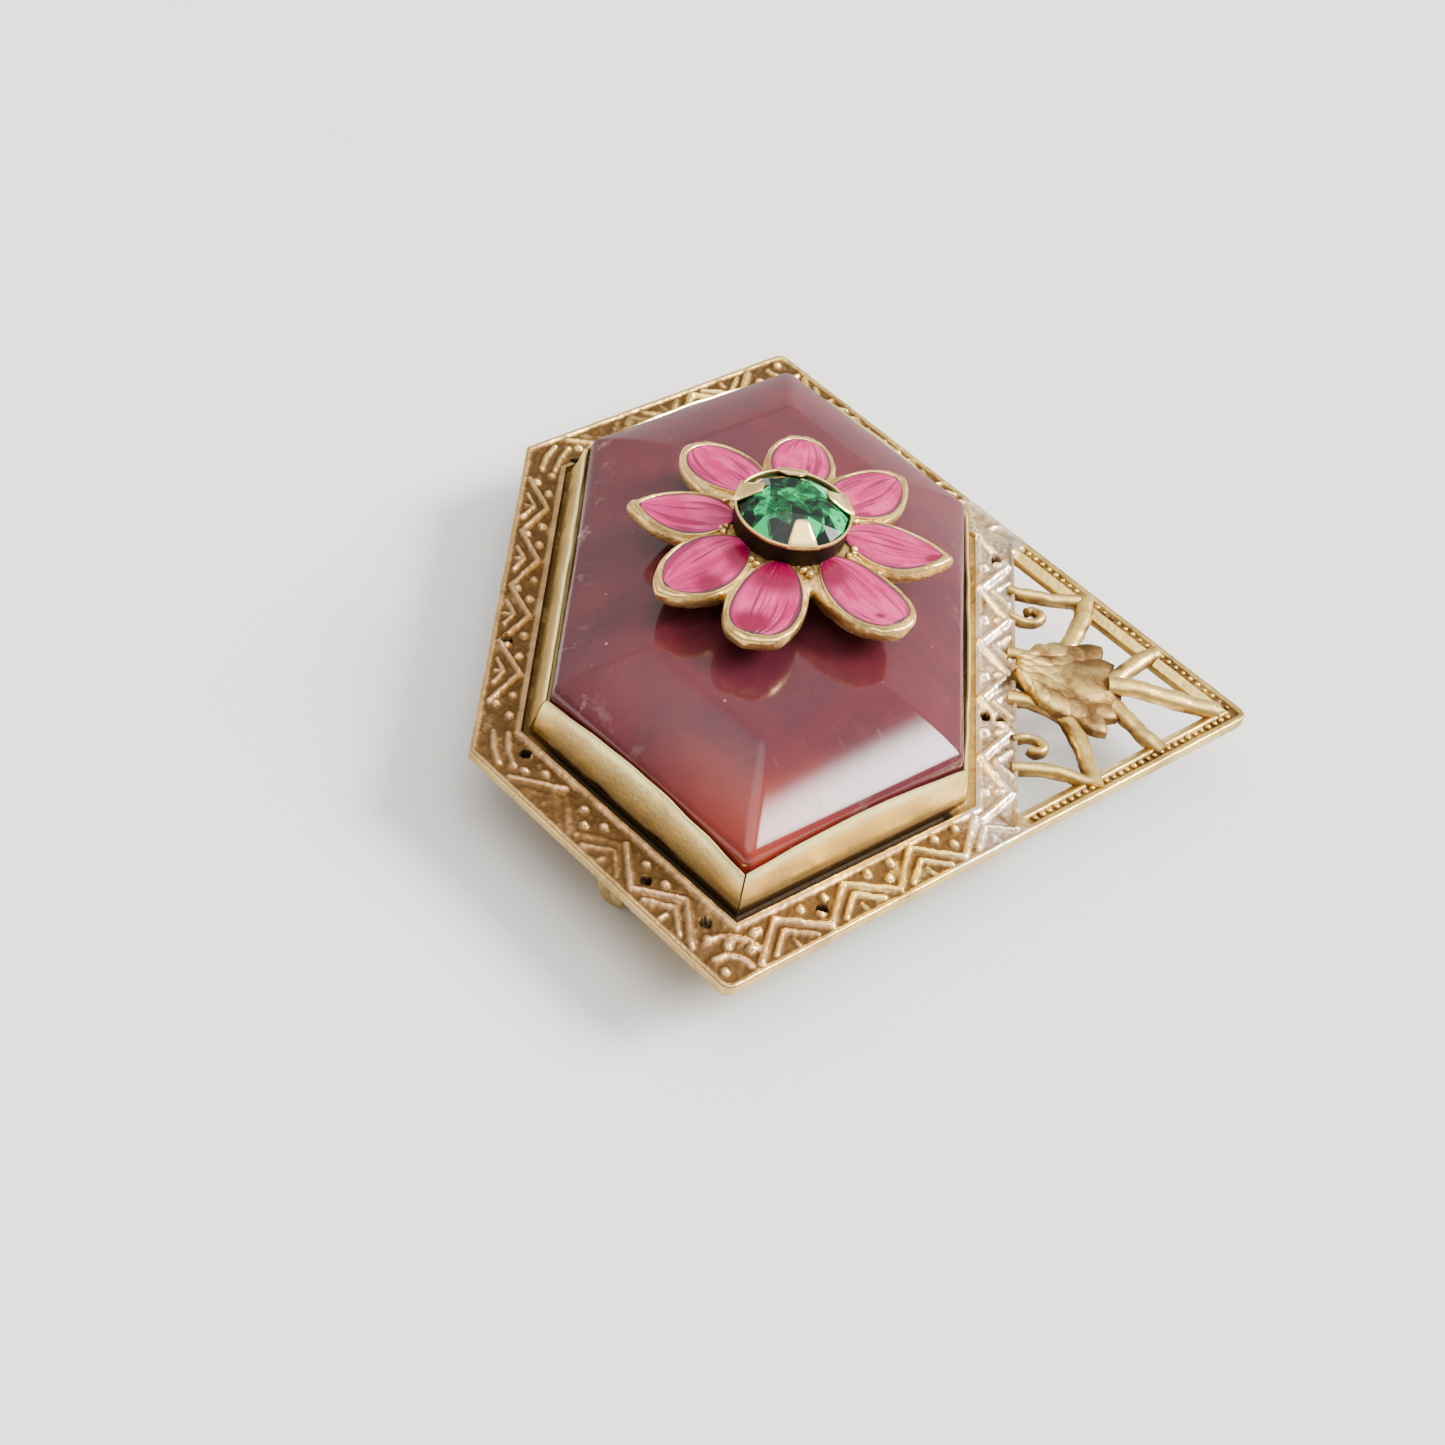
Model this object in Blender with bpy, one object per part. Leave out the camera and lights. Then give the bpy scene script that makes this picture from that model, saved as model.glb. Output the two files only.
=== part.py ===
"""Kite-shaped brooch: a stamped brass plate with a pierced tail, a hexagonal glass stone in a folded
tray, an enamelled flower with a green stone on top, and a hinged pin with a roll-over catch behind.

The plate lies flat in X and Y with its pierced tip at +X. Z is 0 at the lowest point of the fittings
on the back, and X and Y are 0 at the middle of the plate's own box. Every length below is in
millimetres, and solid() writes the meshes in metres.
"""

from math import asin, atan, atan2, cos, hypot, pi, radians, sin, tan

import bpy
from mathutils import Vector

MM = 0.001

# Plate, seen from above. Stations along X are counted from the flat edge at -X.
LENGTH = 40.0
HALF_WIDTH = 24.5
FLAT_EDGE_HALF = 11.9
CORNER_X = 13.6
CORNER_ROUND = 0.6
PLATE_THICK = 0.7
TIP_LOSS = CORNER_ROUND * (1 / sin(atan(HALF_WIDTH / (LENGTH - CORNER_X))) - 1)
MIDDLE_X = (LENGTH - TIP_LOSS) / 2

# Back fittings: the catch's lips, filed flat underneath, set how far the plate stands off the table.
PIN_AXIS_Z = 1.65
PIN_DEPTH = 2.1
BACK_Z = PIN_AXIS_Z + PIN_DEPTH
TOP_Z = BACK_Z + PLATE_THICK

# Pierced tail
BORDER = 1.35
STRIP_X = 27.35
RIB_DROP = 0.6
RIB_RISE = 0.25
HEAD_RISE = 1.0
HEAD_START = 27.1
HEAD_END = 33.3
HEAD_HALF = 2.35
KEEL_WIDTH = 0.95
KEEL_END = 38.6

# Hexagonal tray, stone and channel, centred over the plate's corners
TRAY_HALF = 10.9
TRAY_SHOULDER = 10.15
TRAY_POINT = 19.9
TRAY_SHIFT_X = 0.15
TRAY_SHIFT_Y = 0.3
TRAY_FLOOR = 0.25
TRAY_WALL = 0.25
FLAP_LOW = 1.9
FLAP_BOW = 0.6
FLAP_LEAN = 0.35
CHANNEL_WIDTH = 0.55
CHANNEL_DEPTH = 0.3
CLEAR = 0.03
FOIL_THICK = 0.08
STONE_INSET = 0.62
STONE_EDGE_Z = 2.75
STONE_TABLE_Z = 4.75
STONE_EDGE_ROUND = 0.45
STONE_BEVEL = 3.85
SIDE_STEPS = 8

# Flower, with its eight petals at slightly uneven hand-set angles
FLOWER_X = 13.9
FLOWER_LOW = 5.9
FLOWER_THICK = 0.95
BOSS_RADIUS = 2.4
PETAL_ANGLES = (1.0, 44.0, 86.0, 129.0, 180.0, 221.0, 264.0, 315.0)
PETAL_REACH = (8.5, 8.6, 8.3, 8.1, 8.1, 8.5, 8.4, 8.3)
PETAL_HALF = 2.15
PETAL_ROOT = 3.0
PETAL_METAL_ROOT = 1.2
PETAL_FULLEST = 0.85
PETAL_SWELL = 0.8
HUB_RADIUS = 4.2
RIM = 0.42
ENAMEL_DEPTH = 0.3

# Cup and prongs of the green stone, and the rivet that holds the stack together
CUP_RADIUS = 3.11
CUP_FOOT_RADIUS = 2.95
CUP_RIM_Z = 8.63
CUP_WALL = 0.24
PRONG_ANGLES = (-78.0, 20.0, 94.0, 168.0)
PRONG_REACH = 1.75
CHATON_RADIUS = 2.7
CHATON_TABLE = 1.45
CHATON_GIRDLE_Z = 8.42
CHATON_TABLE_Z = 9.35
CHATON_CULET_Z = 7.55
RIVET_RADIUS = 0.75
RIVET_HEAD = 1.3
HOLE_RADIUS = 0.8
WASHER_RADIUS = 1.7
WASHER_THICK = 0.25

# Pin, its hinge and its catch, on a line across the plate
PIN_LINE_X = 9.0
HINGE_Y = 16.0
CATCH_Y = -15.6
STEM_RADIUS = 0.4
STEM_TIP_Y = -18.2
BARREL_RADIUS = 0.95
BARREL_HALF = 0.85
AXLE_RADIUS = 0.45
AXLE_HEAD = 0.75
AXLE_HEAD_THICK = 0.22
EAR_RADIUS = 1.25
EAR_THICK = 0.5
PLAY = 0.06
PAD_THICK = 0.4
PAD_CORNER = 0.5
HINGE_PAD_HALF = 1.6
CATCH_PAD_X = 1.9
CATCH_PAD_Y = 1.3
CATCH_RADIUS = 1.8
CATCH_HALF = 1.0
NECK_HALF = 1.1
NECK_RISE = 1.3
ROTOR_RADIUS = 1.15
ROTOR_BORE = 0.6
ROTOR_STEPS = 24
MOUTH = 1.0
LEVER_ROOT = 0.8
LEVER_REACH = 2.9
LEVER_HALF = 0.55
LEVER_THICK = 0.47
THROUGH = 3.0

SEGMENTS = 32


# ---------------------------------------------------------------- materials and mesh helpers

def material(name, color, roughness, metallic, transmission=0.0):
    made = bpy.data.materials.new(name)
    made.use_nodes = True
    shader = made.node_tree.nodes["Principled BSDF"]
    shader.inputs["Base Color"].default_value = (*color, 1.0)
    shader.inputs["Roughness"].default_value = roughness
    shader.inputs["Metallic"].default_value = metallic
    shader.inputs["Transmission Weight"].default_value = transmission
    return made


def solid(name, points, faces, finish, pivot=(0.0, 0.0, 0.0), smooth=30.0):
    """A named object from points in millimetres, with its origin at the pivot."""
    mesh = bpy.data.meshes.new(name)
    mesh.from_pydata([[(p[i] - pivot[i]) * MM for i in range(3)] for p in points], [], faces)
    mesh.validate()
    mesh.materials.append(finish)
    if smooth:
        mesh.shade_smooth()
        mesh.set_sharp_from_angle(angle=radians(smooth))
    made = bpy.data.objects.new(name, mesh)
    made.location = [v * MM for v in pivot]
    bpy.context.scene.collection.objects.link(made)
    return made


def guide(made):
    """Marks an object as a tool of another one's shape, not a piece of the brooch."""
    made.hide_render = True
    made.display_type = "WIRE"
    return made


def combine(target, tool, operation):
    step = target.modifiers.new(tool.name, "BOOLEAN")
    step.operation = operation
    step.solver = "EXACT"
    step.object = guide(tool)


def loft(rings, closed=False):
    """Points and faces of a skin over rings of equal count, with end caps or closed on itself."""
    count = len(rings[0])
    points = [p for ring in rings for p in ring]
    faces = []
    for r in range(len(rings) if closed else len(rings) - 1):
        low = r * count
        high = ((r + 1) % len(rings)) * count
        for i in range(count):
            j = (i + 1) % count
            faces.append((low + i, low + j, high + j, high + i))
    if not closed:
        faces.append(tuple(reversed(range(count))))
        faces.append(tuple(range((len(rings) - 1) * count, len(rings) * count)))
    return points, faces


def prism(outline, low, high):
    """An upright slab from an anticlockwise outline."""
    return loft([[(x, y, low) for x, y in outline], [(x, y, high) for x, y in outline]])


def circle(x, y, radius, count=SEGMENTS, turn=0.0):
    return [(x + radius * cos(turn + 2 * pi * i / count), y + radius * sin(turn + 2 * pi * i / count))
            for i in range(count)]


def turned(profile, centre, axis, count=SEGMENTS):
    """A turned solid. The profile holds (radius, station) pairs, and stations run along the axis."""
    along = Vector(axis).normalized()
    side = Vector((0, 0, 1)) if abs(along.z) < 0.9 else Vector((0, 1, 0))
    first = along.cross(side).normalized()
    second = along.cross(first)
    rings = []
    for radius, station in profile:
        middle = Vector(centre) + along * station
        rings.append([middle + (first * cos(2 * pi * i / count) + second * sin(2 * pi * i / count)) * radius
                      for i in range(count)])
    return loft(rings)


# ---------------------------------------------------------------- outlines in plan

def kite(inset=0.0):
    """The plate's five corners in order, anticlockwise, moved in by an inset."""
    corners = [(0.0, -FLAT_EDGE_HALF), (CORNER_X, -HALF_WIDTH), (LENGTH, 0.0),
               (CORNER_X, HALF_WIDTH), (0.0, FLAT_EDGE_HALF)]
    return inset_outline(corners, inset)


def inset_outline(corners, inset):
    """Moves every side of a convex anticlockwise outline inwards."""
    lines = []
    for i, (x0, y0) in enumerate(corners):
        x1, y1 = corners[(i + 1) % len(corners)]
        length = hypot(x1 - x0, y1 - y0)
        nx = -(y1 - y0) / length
        ny = (x1 - x0) / length
        lines.append((nx, ny, nx * x0 + ny * y0 + inset))
    moved = []
    for i in range(len(lines)):
        a1, b1, c1 = lines[i - 1]
        a2, b2, c2 = lines[i]
        det = a1 * b2 - a2 * b1
        moved.append(((c1 * b2 - c2 * b1) / det, (a1 * c2 - a2 * c1) / det))
    return moved


def rounded(corners, radius, steps=4):
    """The outline with each corner replaced by an arc."""
    out = []
    for i, (x, y) in enumerate(corners):
        px, py = corners[i - 1]
        qx, qy = corners[(i + 1) % len(corners)]
        back = Vector((px - x, py - y)).normalized()
        ahead = Vector((qx - x, qy - y)).normalized()
        half = back.angle(ahead) / 2
        middle = (back + ahead).normalized() * (radius / sin(half))
        reach = radius / tan(half)
        start = back * reach - middle
        end = ahead * reach - middle
        for s in range(steps + 1):
            spoke = start.lerp(end, s / steps).normalized() * radius
            out.append((x + middle.x + spoke.x, y + middle.y + spoke.y))
    return out


def hexagon(inset=0.0):
    """The tray's hexagon, anticlockwise from its -X side's lower corner."""
    middle = CORNER_X + TRAY_SHIFT_X
    corners = []
    for x, y in ((-1, -1), (0, -1), (1, -1), (1, 1), (0, 1), (-1, 1)):
        reach = TRAY_SHOULDER if x else TRAY_POINT
        corners.append((middle + x * TRAY_HALF, TRAY_SHIFT_Y + y * reach))
    return inset_outline(corners, inset)


def divided(corners, steps=SIDE_STEPS):
    """Each side of an outline cut into equal steps, with how far along its side each point is."""
    out = []
    for i, (x0, y0) in enumerate(corners):
        x1, y1 = corners[(i + 1) % len(corners)]
        for s in range(steps):
            t = s / steps
            out.append((x0 + (x1 - x0) * t, y0 + (y1 - y0) * t, t))
    return out


def ribbon(points, width, steps=5):
    """The outline of a bar that follows a smooth line through the points."""
    line = []
    guard = [points[0], *points, points[-1]]
    for i in range(1, len(guard) - 2):
        a, b, c, d = guard[i - 1:i + 3]
        for s in range(steps):
            t = s / steps
            line.append([(2 * b[k] + (c[k] - a[k]) * t + (2 * a[k] - 5 * b[k] + 4 * c[k] - d[k]) * t ** 2
                          + (3 * b[k] - a[k] - 3 * c[k] + d[k]) * t ** 3) / 2 for k in (0, 1)])
    line.append(list(points[-1]))
    left, right = [], []
    for i, (x, y) in enumerate(line):
        x0, y0 = line[max(i - 1, 0)]
        x1, y1 = line[min(i + 1, len(line) - 1)]
        length = hypot(x1 - x0, y1 - y0)
        nx = -(y1 - y0) / length * width / 2
        ny = (x1 - x0) / length * width / 2
        left.append((x + nx, y + ny))
        right.append((x - nx, y - ny))
    return right + left[::-1]


def on_plate(outline):
    """From stations along the plate to the part's own X."""
    return [(x - MIDDLE_X, y) for x, y in outline]


# ---------------------------------------------------------------- plate with its pierced tail

RIBS = (
    ("stem_inner", ((27.0, -1.7), (28.7, -1.8), (29.8, -2.4), (30.5, -3.9), (31.0, -5.8), (31.2, -7.4)), 0.75),
    ("stem_outer", ((31.6, -0.3), (32.3, -0.6), (33.1, -1.7), (34.0, -2.8), (35.2, -3.6)), 0.8),
    ("side_bar", ((27.0, -6.8), (29.2, -6.8), (31.6, -6.95)), 0.65),
    ("curl", ((27.0, -4.7), (28.2, -4.45), (28.75, -4.9), (28.5, -5.5), (27.95, -5.45)), 0.5),
)


def plate(finish):
    base = solid("frame_plate", *prism(on_plate(rounded(kite(), CORNER_ROUND)), BACK_Z, TOP_Z), finish)
    rim = kite(BORDER)
    window_top = [(STRIP_X, -tail_half(STRIP_X)), (rim[2][0], 0.0), (STRIP_X, tail_half(STRIP_X))]
    window = solid("tail_window", *prism(on_plate(window_top), BACK_Z - THROUGH, TOP_Z + THROUGH), finish)
    combine(base, window, "DIFFERENCE")
    outer = on_plate(hexagon(-CHANNEL_WIDTH))
    inner = on_plate(hexagon(CLEAR))
    channel = solid("channel", *loft([
        [(x, y, TOP_Z - CHANNEL_DEPTH) for x, y in inner],
        [(x, y, TOP_Z - CHANNEL_DEPTH) for x, y in outer],
        [(x, y, TOP_Z + 1) for x, y in outer],
        [(x, y, TOP_Z + 1) for x, y in inner]], closed=True), finish)
    combine(base, channel, "DIFFERENCE")
    bore = prism(on_plate(circle(FLOWER_X, 0, HOLE_RADIUS)), BACK_Z - THROUGH, TOP_Z + THROUGH)
    combine(base, solid("plate_hole", *bore, finish), "DIFFERENCE")
    for side in (1, -1):
        for name, points, width in RIBS:
            line = [(x, y * side) for x, y in points]
            bar = prism(on_plate(ribbon(line, width)), TOP_Z - RIB_DROP, TOP_Z + RIB_RISE)
            combine(base, solid(f"{name}_{'near' if side > 0 else 'far'}", *bar, finish), "UNION")
    line = ((HEAD_END - 1, 0.0), (KEEL_END, 0.0))
    keel = prism(on_plate(ribbon(line, KEEL_WIDTH)), TOP_Z - RIB_DROP, TOP_Z + RIB_RISE)
    combine(base, solid("keel", *keel, finish), "UNION")
    combine(base, solid("lotus_head", *lotus_head(), finish), "UNION")
    return base


def tail_half(x):
    """Half the width of the tail's window at a station along the plate."""
    slope = HALF_WIDTH / (LENGTH - CORNER_X)
    return (LENGTH - x) * slope - BORDER * hypot(1, slope)


def lotus_head():
    """A domed drop-shaped boss that fans out from the strip towards the tip."""
    start, end, half = HEAD_START, HEAD_END, HEAD_HALF
    outline = []
    for i in range(24):
        turn = 2 * pi * i / 24
        along = (1 - cos(turn)) / 2
        outline.append((start + (end - start) * along, -half * sin(turn) * (0.45 + 0.62 * along)))
    rings = [[(x, y, TOP_Z - RIB_DROP) for x, y in outline]]
    for shrink, rise in ((1.0, 0.2), (0.86, 0.6), (0.55, HEAD_RISE)):
        middle = (start + end) / 2
        rings.append([(middle + (x - middle) * shrink, y * shrink, TOP_Z + rise) for x, y in outline])
    return loft([on_plate_3d(ring) for ring in rings])


def on_plate_3d(ring):
    return [(x - MIDDLE_X, y, z) for x, y, z in ring]


# ---------------------------------------------------------------- tray, foil and stone

def hexagon_ring(inset, height, bow=0.0):
    """A ring of points round the hexagon, raised towards the middle of each side by the bow."""
    return [(x - MIDDLE_X, y, height + bow * (4 * t * (1 - t))) for x, y, t in divided(hexagon(inset))]


def hole_ring(radius, height):
    """A round ring whose points face those of a hexagon ring."""
    centre = FLOWER_X - MIDDLE_X
    ring = []
    for x, y, _ in divided(hexagon()):
        turn = atan2(y, x - FLOWER_X)
        ring.append((centre + radius * cos(turn), radius * sin(turn), height))
    return ring


def tray(finish):
    floor = TOP_Z + CLEAR
    lip = TOP_Z + FLAP_LOW
    rings = [
        hole_ring(HOLE_RADIUS, floor),
        hexagon_ring(0.0, floor),
        hexagon_ring(0.1, floor + FLAP_LOW / 2, FLAP_BOW / 2),
        hexagon_ring(FLAP_LEAN, lip, FLAP_BOW),
        hexagon_ring(FLAP_LEAN + 0.17, lip - 0.04, FLAP_BOW),
        hexagon_ring(0.1 + TRAY_WALL, floor + FLAP_LOW / 2, FLAP_BOW / 2),
        hexagon_ring(TRAY_WALL, floor + TRAY_FLOOR),
        hole_ring(HOLE_RADIUS, floor + TRAY_FLOOR),
    ]
    return solid("bezel_cup", *loft(rings, closed=True), finish)


def foil(finish):
    low = TOP_Z + CLEAR + TRAY_FLOOR + CLEAR
    rings = [
        hole_ring(HOLE_RADIUS, low),
        hexagon_ring(STONE_INSET, low),
        hexagon_ring(STONE_INSET, low + FOIL_THICK),
        hole_ring(HOLE_RADIUS, low + FOIL_THICK),
    ]
    return solid("stone_foil", *loft(rings, closed=True), finish)


def stone(finish):
    low = TOP_Z + TRAY_FLOOR + FOIL_THICK + 3 * CLEAR
    edge = TOP_Z + STONE_EDGE_Z
    table = TOP_Z + STONE_TABLE_Z
    crown = STONE_INSET + STONE_EDGE_ROUND
    rings = [
        hole_ring(HOLE_RADIUS, low),
        hexagon_ring(STONE_INSET, low),
        hexagon_ring(STONE_INSET, edge - STONE_EDGE_ROUND * 0.8),
        hexagon_ring(STONE_INSET + STONE_EDGE_ROUND * 0.27, edge - STONE_EDGE_ROUND * 0.2),
        hexagon_ring(crown, edge + STONE_EDGE_ROUND * 0.2),
        hexagon_ring(crown + STONE_BEVEL, table),
        hole_ring(HOLE_RADIUS, table),
    ]
    return solid("stone", *loft(rings, closed=True), finish)


# ---------------------------------------------------------------- flower and its enamel

def petal_outline(number, inset, root):
    """A petal in plan, anticlockwise from its root: a drop that is fullest past its middle."""
    turn = radians(PETAL_ANGLES[number])
    reach = PETAL_REACH[number] - inset * 1.7
    steps = 14
    outline = []
    for i in range(steps):
        back_and_forth = abs(1 - 2 * i / steps)
        along = 1 - back_and_forth
        half = (PETAL_HALF - inset) * sin(pi * along ** PETAL_FULLEST) ** PETAL_SWELL if 0 < along < 1 else 0.0
        side = -half if i < steps / 2 else half
        out = root + (reach - root) * along
        outline.append((FLOWER_X + out * cos(turn) - side * sin(turn), out * sin(turn) + side * cos(turn)))
    return outline


def flower(finish):
    low = TOP_Z + FLOWER_LOW
    high = low + FLOWER_THICK
    base = solid("flower_base", *prism(on_plate(circle(FLOWER_X, 0, HUB_RADIUS)), low, high), finish)
    petals = range(len(PETAL_ANGLES))
    for number in petals:
        outline = on_plate(petal_outline(number, 0.0, PETAL_METAL_ROOT))
        combine(base, solid(f"petal_metal_{number + 1}", *prism(outline, low, high), finish), "UNION")
    for number in petals:
        outline = on_plate(petal_outline(number, RIM - CLEAR, PETAL_ROOT))
        cell = prism(outline, high - ENAMEL_DEPTH - CLEAR, high + THROUGH)
        combine(base, solid(f"petal_cell_{number + 1}", *cell, finish), "DIFFERENCE")
    boss = prism(on_plate(circle(FLOWER_X, 0, BOSS_RADIUS)), TOP_Z + STONE_TABLE_Z + CLEAR, low + 0.2)
    combine(base, solid("flower_boss", *boss, finish), "UNION")
    bore = prism(on_plate(circle(FLOWER_X, 0, HOLE_RADIUS)), low - THROUGH, high + THROUGH)
    combine(base, solid("flower_hole", *bore, finish), "DIFFERENCE")
    return base


def enamel(number, finish):
    high = TOP_Z + FLOWER_LOW + FLOWER_THICK
    outline = on_plate(petal_outline(number, RIM, PETAL_ROOT))
    middle_x = sum(x for x, _ in outline) / len(outline)
    middle_y = sum(y for _, y in outline) / len(outline)
    rings = []
    for shrink, rise in ((1.0, -ENAMEL_DEPTH), (1.0, -0.05), (0.75, 0.06)):
        rings.append([(middle_x + (x - middle_x) * shrink, middle_y + (y - middle_y) * shrink, high + rise)
                      for x, y in outline])
    return solid(f"enamel_petal_{number + 1}", *loft(rings), finish)


# ---------------------------------------------------------------- green stone, its cup and the rivet

def cup(finish):
    centre = (FLOWER_X - MIDDLE_X, 0.0)
    foot = TOP_Z + FLOWER_LOW + FLOWER_THICK + CLEAR + 0.06
    floor = foot + 0.25
    rim = TOP_Z + CUP_RIM_Z
    rings = []
    for radius, height in ((HOLE_RADIUS, foot), (CUP_FOOT_RADIUS, foot), (CUP_RADIUS, rim),
                           (CUP_RADIUS - CUP_WALL, rim), (CUP_FOOT_RADIUS - CUP_WALL, floor),
                           (HOLE_RADIUS, floor)):
        rings.append([(centre[0] + x, y, height) for x, y in circle(0, 0, radius, 48)])
    base = solid("collet", *loft(rings, closed=True), finish)
    for number, angle in enumerate(PRONG_ANGLES):
        combine(base, solid(f"prong_{number + 1}", *prong(angle, centre, rim), finish), "UNION")
    return base


def prong(angle, centre, rim):
    """A tapering tongue from the cup's rim, bent over the stone's crown."""
    crown = (CHATON_TABLE_Z - CHATON_GIRDLE_Z) / (CHATON_RADIUS - CHATON_TABLE)
    turn = radians(angle)
    rings = []
    for radius, half in ((CUP_RADIUS - 0.05, 0.85), (CHATON_RADIUS, 0.75), (PRONG_REACH, 0.32)):
        under = TOP_Z + CHATON_GIRDLE_Z + (CHATON_RADIUS - radius) * crown + 0.07
        under = max(under, rim - 0.2)
        ring = []
        for offset, lift in ((-half, 0.0), (half, 0.0), (half, 0.2), (-half, 0.2)):
            ring.append((centre[0] + radius * cos(turn) - offset * sin(turn),
                         centre[1] + radius * sin(turn) + offset * cos(turn), under + lift))
        rings.append(ring)
    return loft(rings[::-1])


def chaton(finish):
    count = 16
    centre = (FLOWER_X - MIDDLE_X, 0.0)
    rings = []
    for radius, height in ((0.35, CHATON_CULET_Z), (CHATON_RADIUS, CHATON_GIRDLE_Z - 0.1),
                           (CHATON_RADIUS, CHATON_GIRDLE_Z), (CHATON_TABLE, CHATON_TABLE_Z)):
        rings.append([(centre[0] + x, y, TOP_Z + height) for x, y in circle(0, 0, radius, count)])
    return solid("chaton", *loft(rings), finish, smooth=0)


def rivet(finish):
    """The head sits on the cup's floor, and the tail is hammered over the washer behind the plate."""
    head = TOP_Z + FLOWER_LOW + FLOWER_THICK + 2 * CLEAR + 0.31
    tail = BACK_Z - WASHER_THICK - 2 * CLEAR
    profile = ((0.5, tail - 0.45), (1.05, tail - 0.3), (1.15, tail), (RIVET_RADIUS, tail),
               (RIVET_RADIUS, head), (RIVET_HEAD, head), (RIVET_HEAD, head + 0.12), (0.9, head + 0.2))
    centre = (FLOWER_X - MIDDLE_X, 0.0, 0.0)
    return solid("centre_rivet", *turned(profile, centre, (0, 0, 1)), finish)


def washer(finish):
    high = BACK_Z - CLEAR
    centre = FLOWER_X - MIDDLE_X
    rings = []
    for radius, height in ((HOLE_RADIUS, high), (HOLE_RADIUS, high - WASHER_THICK),
                           (WASHER_RADIUS, high - WASHER_THICK), (WASHER_RADIUS, high)):
        rings.append([(centre + x, y, height) for x, y in circle(0, 0, radius)])
    return solid("rivet_washer", *loft(rings, closed=True), finish)


# ---------------------------------------------------------------- pin, hinge and catch on the back

LINE_X = PIN_LINE_X - MIDDLE_X


def oblong(x, y, half_x, half_y):
    return [(x + half_x * i, y + half_y * j) for i, j in ((-1, -1), (1, -1), (1, 1), (-1, 1))]


def hinge_base(finish):
    """A soldered pad with two ears that carry the axle."""
    top = BACK_Z - CLEAR
    shoulder = top - PAD_THICK / 2
    reach = BARREL_HALF + PLAY + EAR_THICK
    pad = rounded(oblong(LINE_X, HINGE_Y, reach + PAD_CORNER, HINGE_PAD_HALF), PAD_CORNER)
    base = solid("hinge_base", *prism(pad, top - PAD_THICK, top), finish)
    profile = [(HINGE_Y + EAR_RADIUS * cos(a), PIN_AXIS_Z + EAR_RADIUS * sin(a))
               for a in [pi + pi * i / 10 for i in range(11)]]
    profile += [(HINGE_Y + EAR_RADIUS, shoulder), (HINGE_Y - EAR_RADIUS, shoulder)]
    for name, side in (("ear_left", -1), ("ear_right", 1)):
        faces_x = sorted((LINE_X + side * (BARREL_HALF + PLAY), LINE_X + side * reach))
        ear = loft([[(x, y, z) for y, z in profile] for x in faces_x])
        combine(base, solid(name, *ear, finish), "UNION")
    hole = AXLE_RADIUS + PLAY / 3
    bore = turned(((hole, -THROUGH), (hole, THROUGH)), (LINE_X, HINGE_Y, PIN_AXIS_Z), (1, 0, 0))
    combine(base, solid("axle_bore", *bore, finish), "DIFFERENCE")
    return base


def axle(finish):
    """A rivet through the ears, with both ends hammered over."""
    inner = BARREL_HALF + PLAY + EAR_THICK + CLEAR
    half = ((AXLE_RADIUS, inner), (AXLE_HEAD, inner), (AXLE_HEAD, inner + AXLE_HEAD_THICK / 2),
            (AXLE_HEAD * 0.65, inner + AXLE_HEAD_THICK))
    profile = [(radius, -station) for radius, station in reversed(half)] + list(half)
    return solid("hinge_rivet", *turned(profile, (LINE_X, HINGE_Y, PIN_AXIS_Z), (1, 0, 0)), finish)


def stem(finish):
    """The pin: a pointed wire with a barrel that turns on the axle."""
    pivot = (LINE_X, HINGE_Y, PIN_AXIS_Z)
    bore = AXLE_RADIUS + PLAY
    rings = []
    for radius, x in ((BARREL_RADIUS, BARREL_HALF), (bore, BARREL_HALF), (bore, -BARREL_HALF),
                      (BARREL_RADIUS, -BARREL_HALF)):
        rings.append([(LINE_X + x, HINGE_Y + y, PIN_AXIS_Z + z) for y, z in circle(0, 0, radius)])
    base = solid("pin_stem", *loft(rings, closed=True), finish, pivot=pivot)
    length = HINGE_Y - STEM_TIP_Y
    profile = ((STEM_RADIUS, bore + PLAY), (STEM_RADIUS, length - 5), (STEM_RADIUS * 0.8, length - 2.5),
               (STEM_RADIUS * 0.45, length - 0.7), (STEM_RADIUS / 8, length))
    combine(base, solid("stem_wire", *turned(profile, pivot, (0, -1, 0), 20), finish), "UNION")
    return base


def catch_housing(finish):
    """A soldered pad and a short barrel, open underneath so that the pin can drop out."""
    top = BACK_Z - CLEAR
    pad = rounded(oblong(LINE_X, CATCH_Y, CATCH_PAD_X, CATCH_PAD_Y), PAD_CORNER)
    base = solid("catch_housing", *prism(pad, top - PAD_THICK, top), finish)
    centre = (LINE_X, CATCH_Y, PIN_AXIS_Z)
    body = turned(((CATCH_RADIUS, -CATCH_HALF), (CATCH_RADIUS, CATCH_HALF)), centre, (0, 1, 0))
    combine(base, solid("catch_body", *body, finish), "UNION")
    neck = prism(oblong(LINE_X, CATCH_Y, NECK_HALF, CATCH_HALF), PIN_AXIS_Z + NECK_RISE, top - PAD_THICK / 2)
    combine(base, solid("catch_neck", *neck, finish), "UNION")
    hole = ROTOR_RADIUS + PLAY
    bore = turned(((hole, -THROUGH), (hole, THROUGH)), centre, (0, 1, 0))
    combine(base, solid("catch_bore", *bore, finish), "DIFFERENCE")
    mouth = prism(oblong(LINE_X, CATCH_Y, MOUTH / 2, THROUGH), -THROUGH, PIN_AXIS_Z)
    combine(base, solid("catch_mouth", *mouth, finish), "DIFFERENCE")
    filed = prism(oblong(LINE_X, CATCH_Y, THROUGH, THROUGH), -THROUGH, 0.0)
    combine(base, solid("filed_flat", *filed, finish), "DIFFERENCE")
    return base


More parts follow.
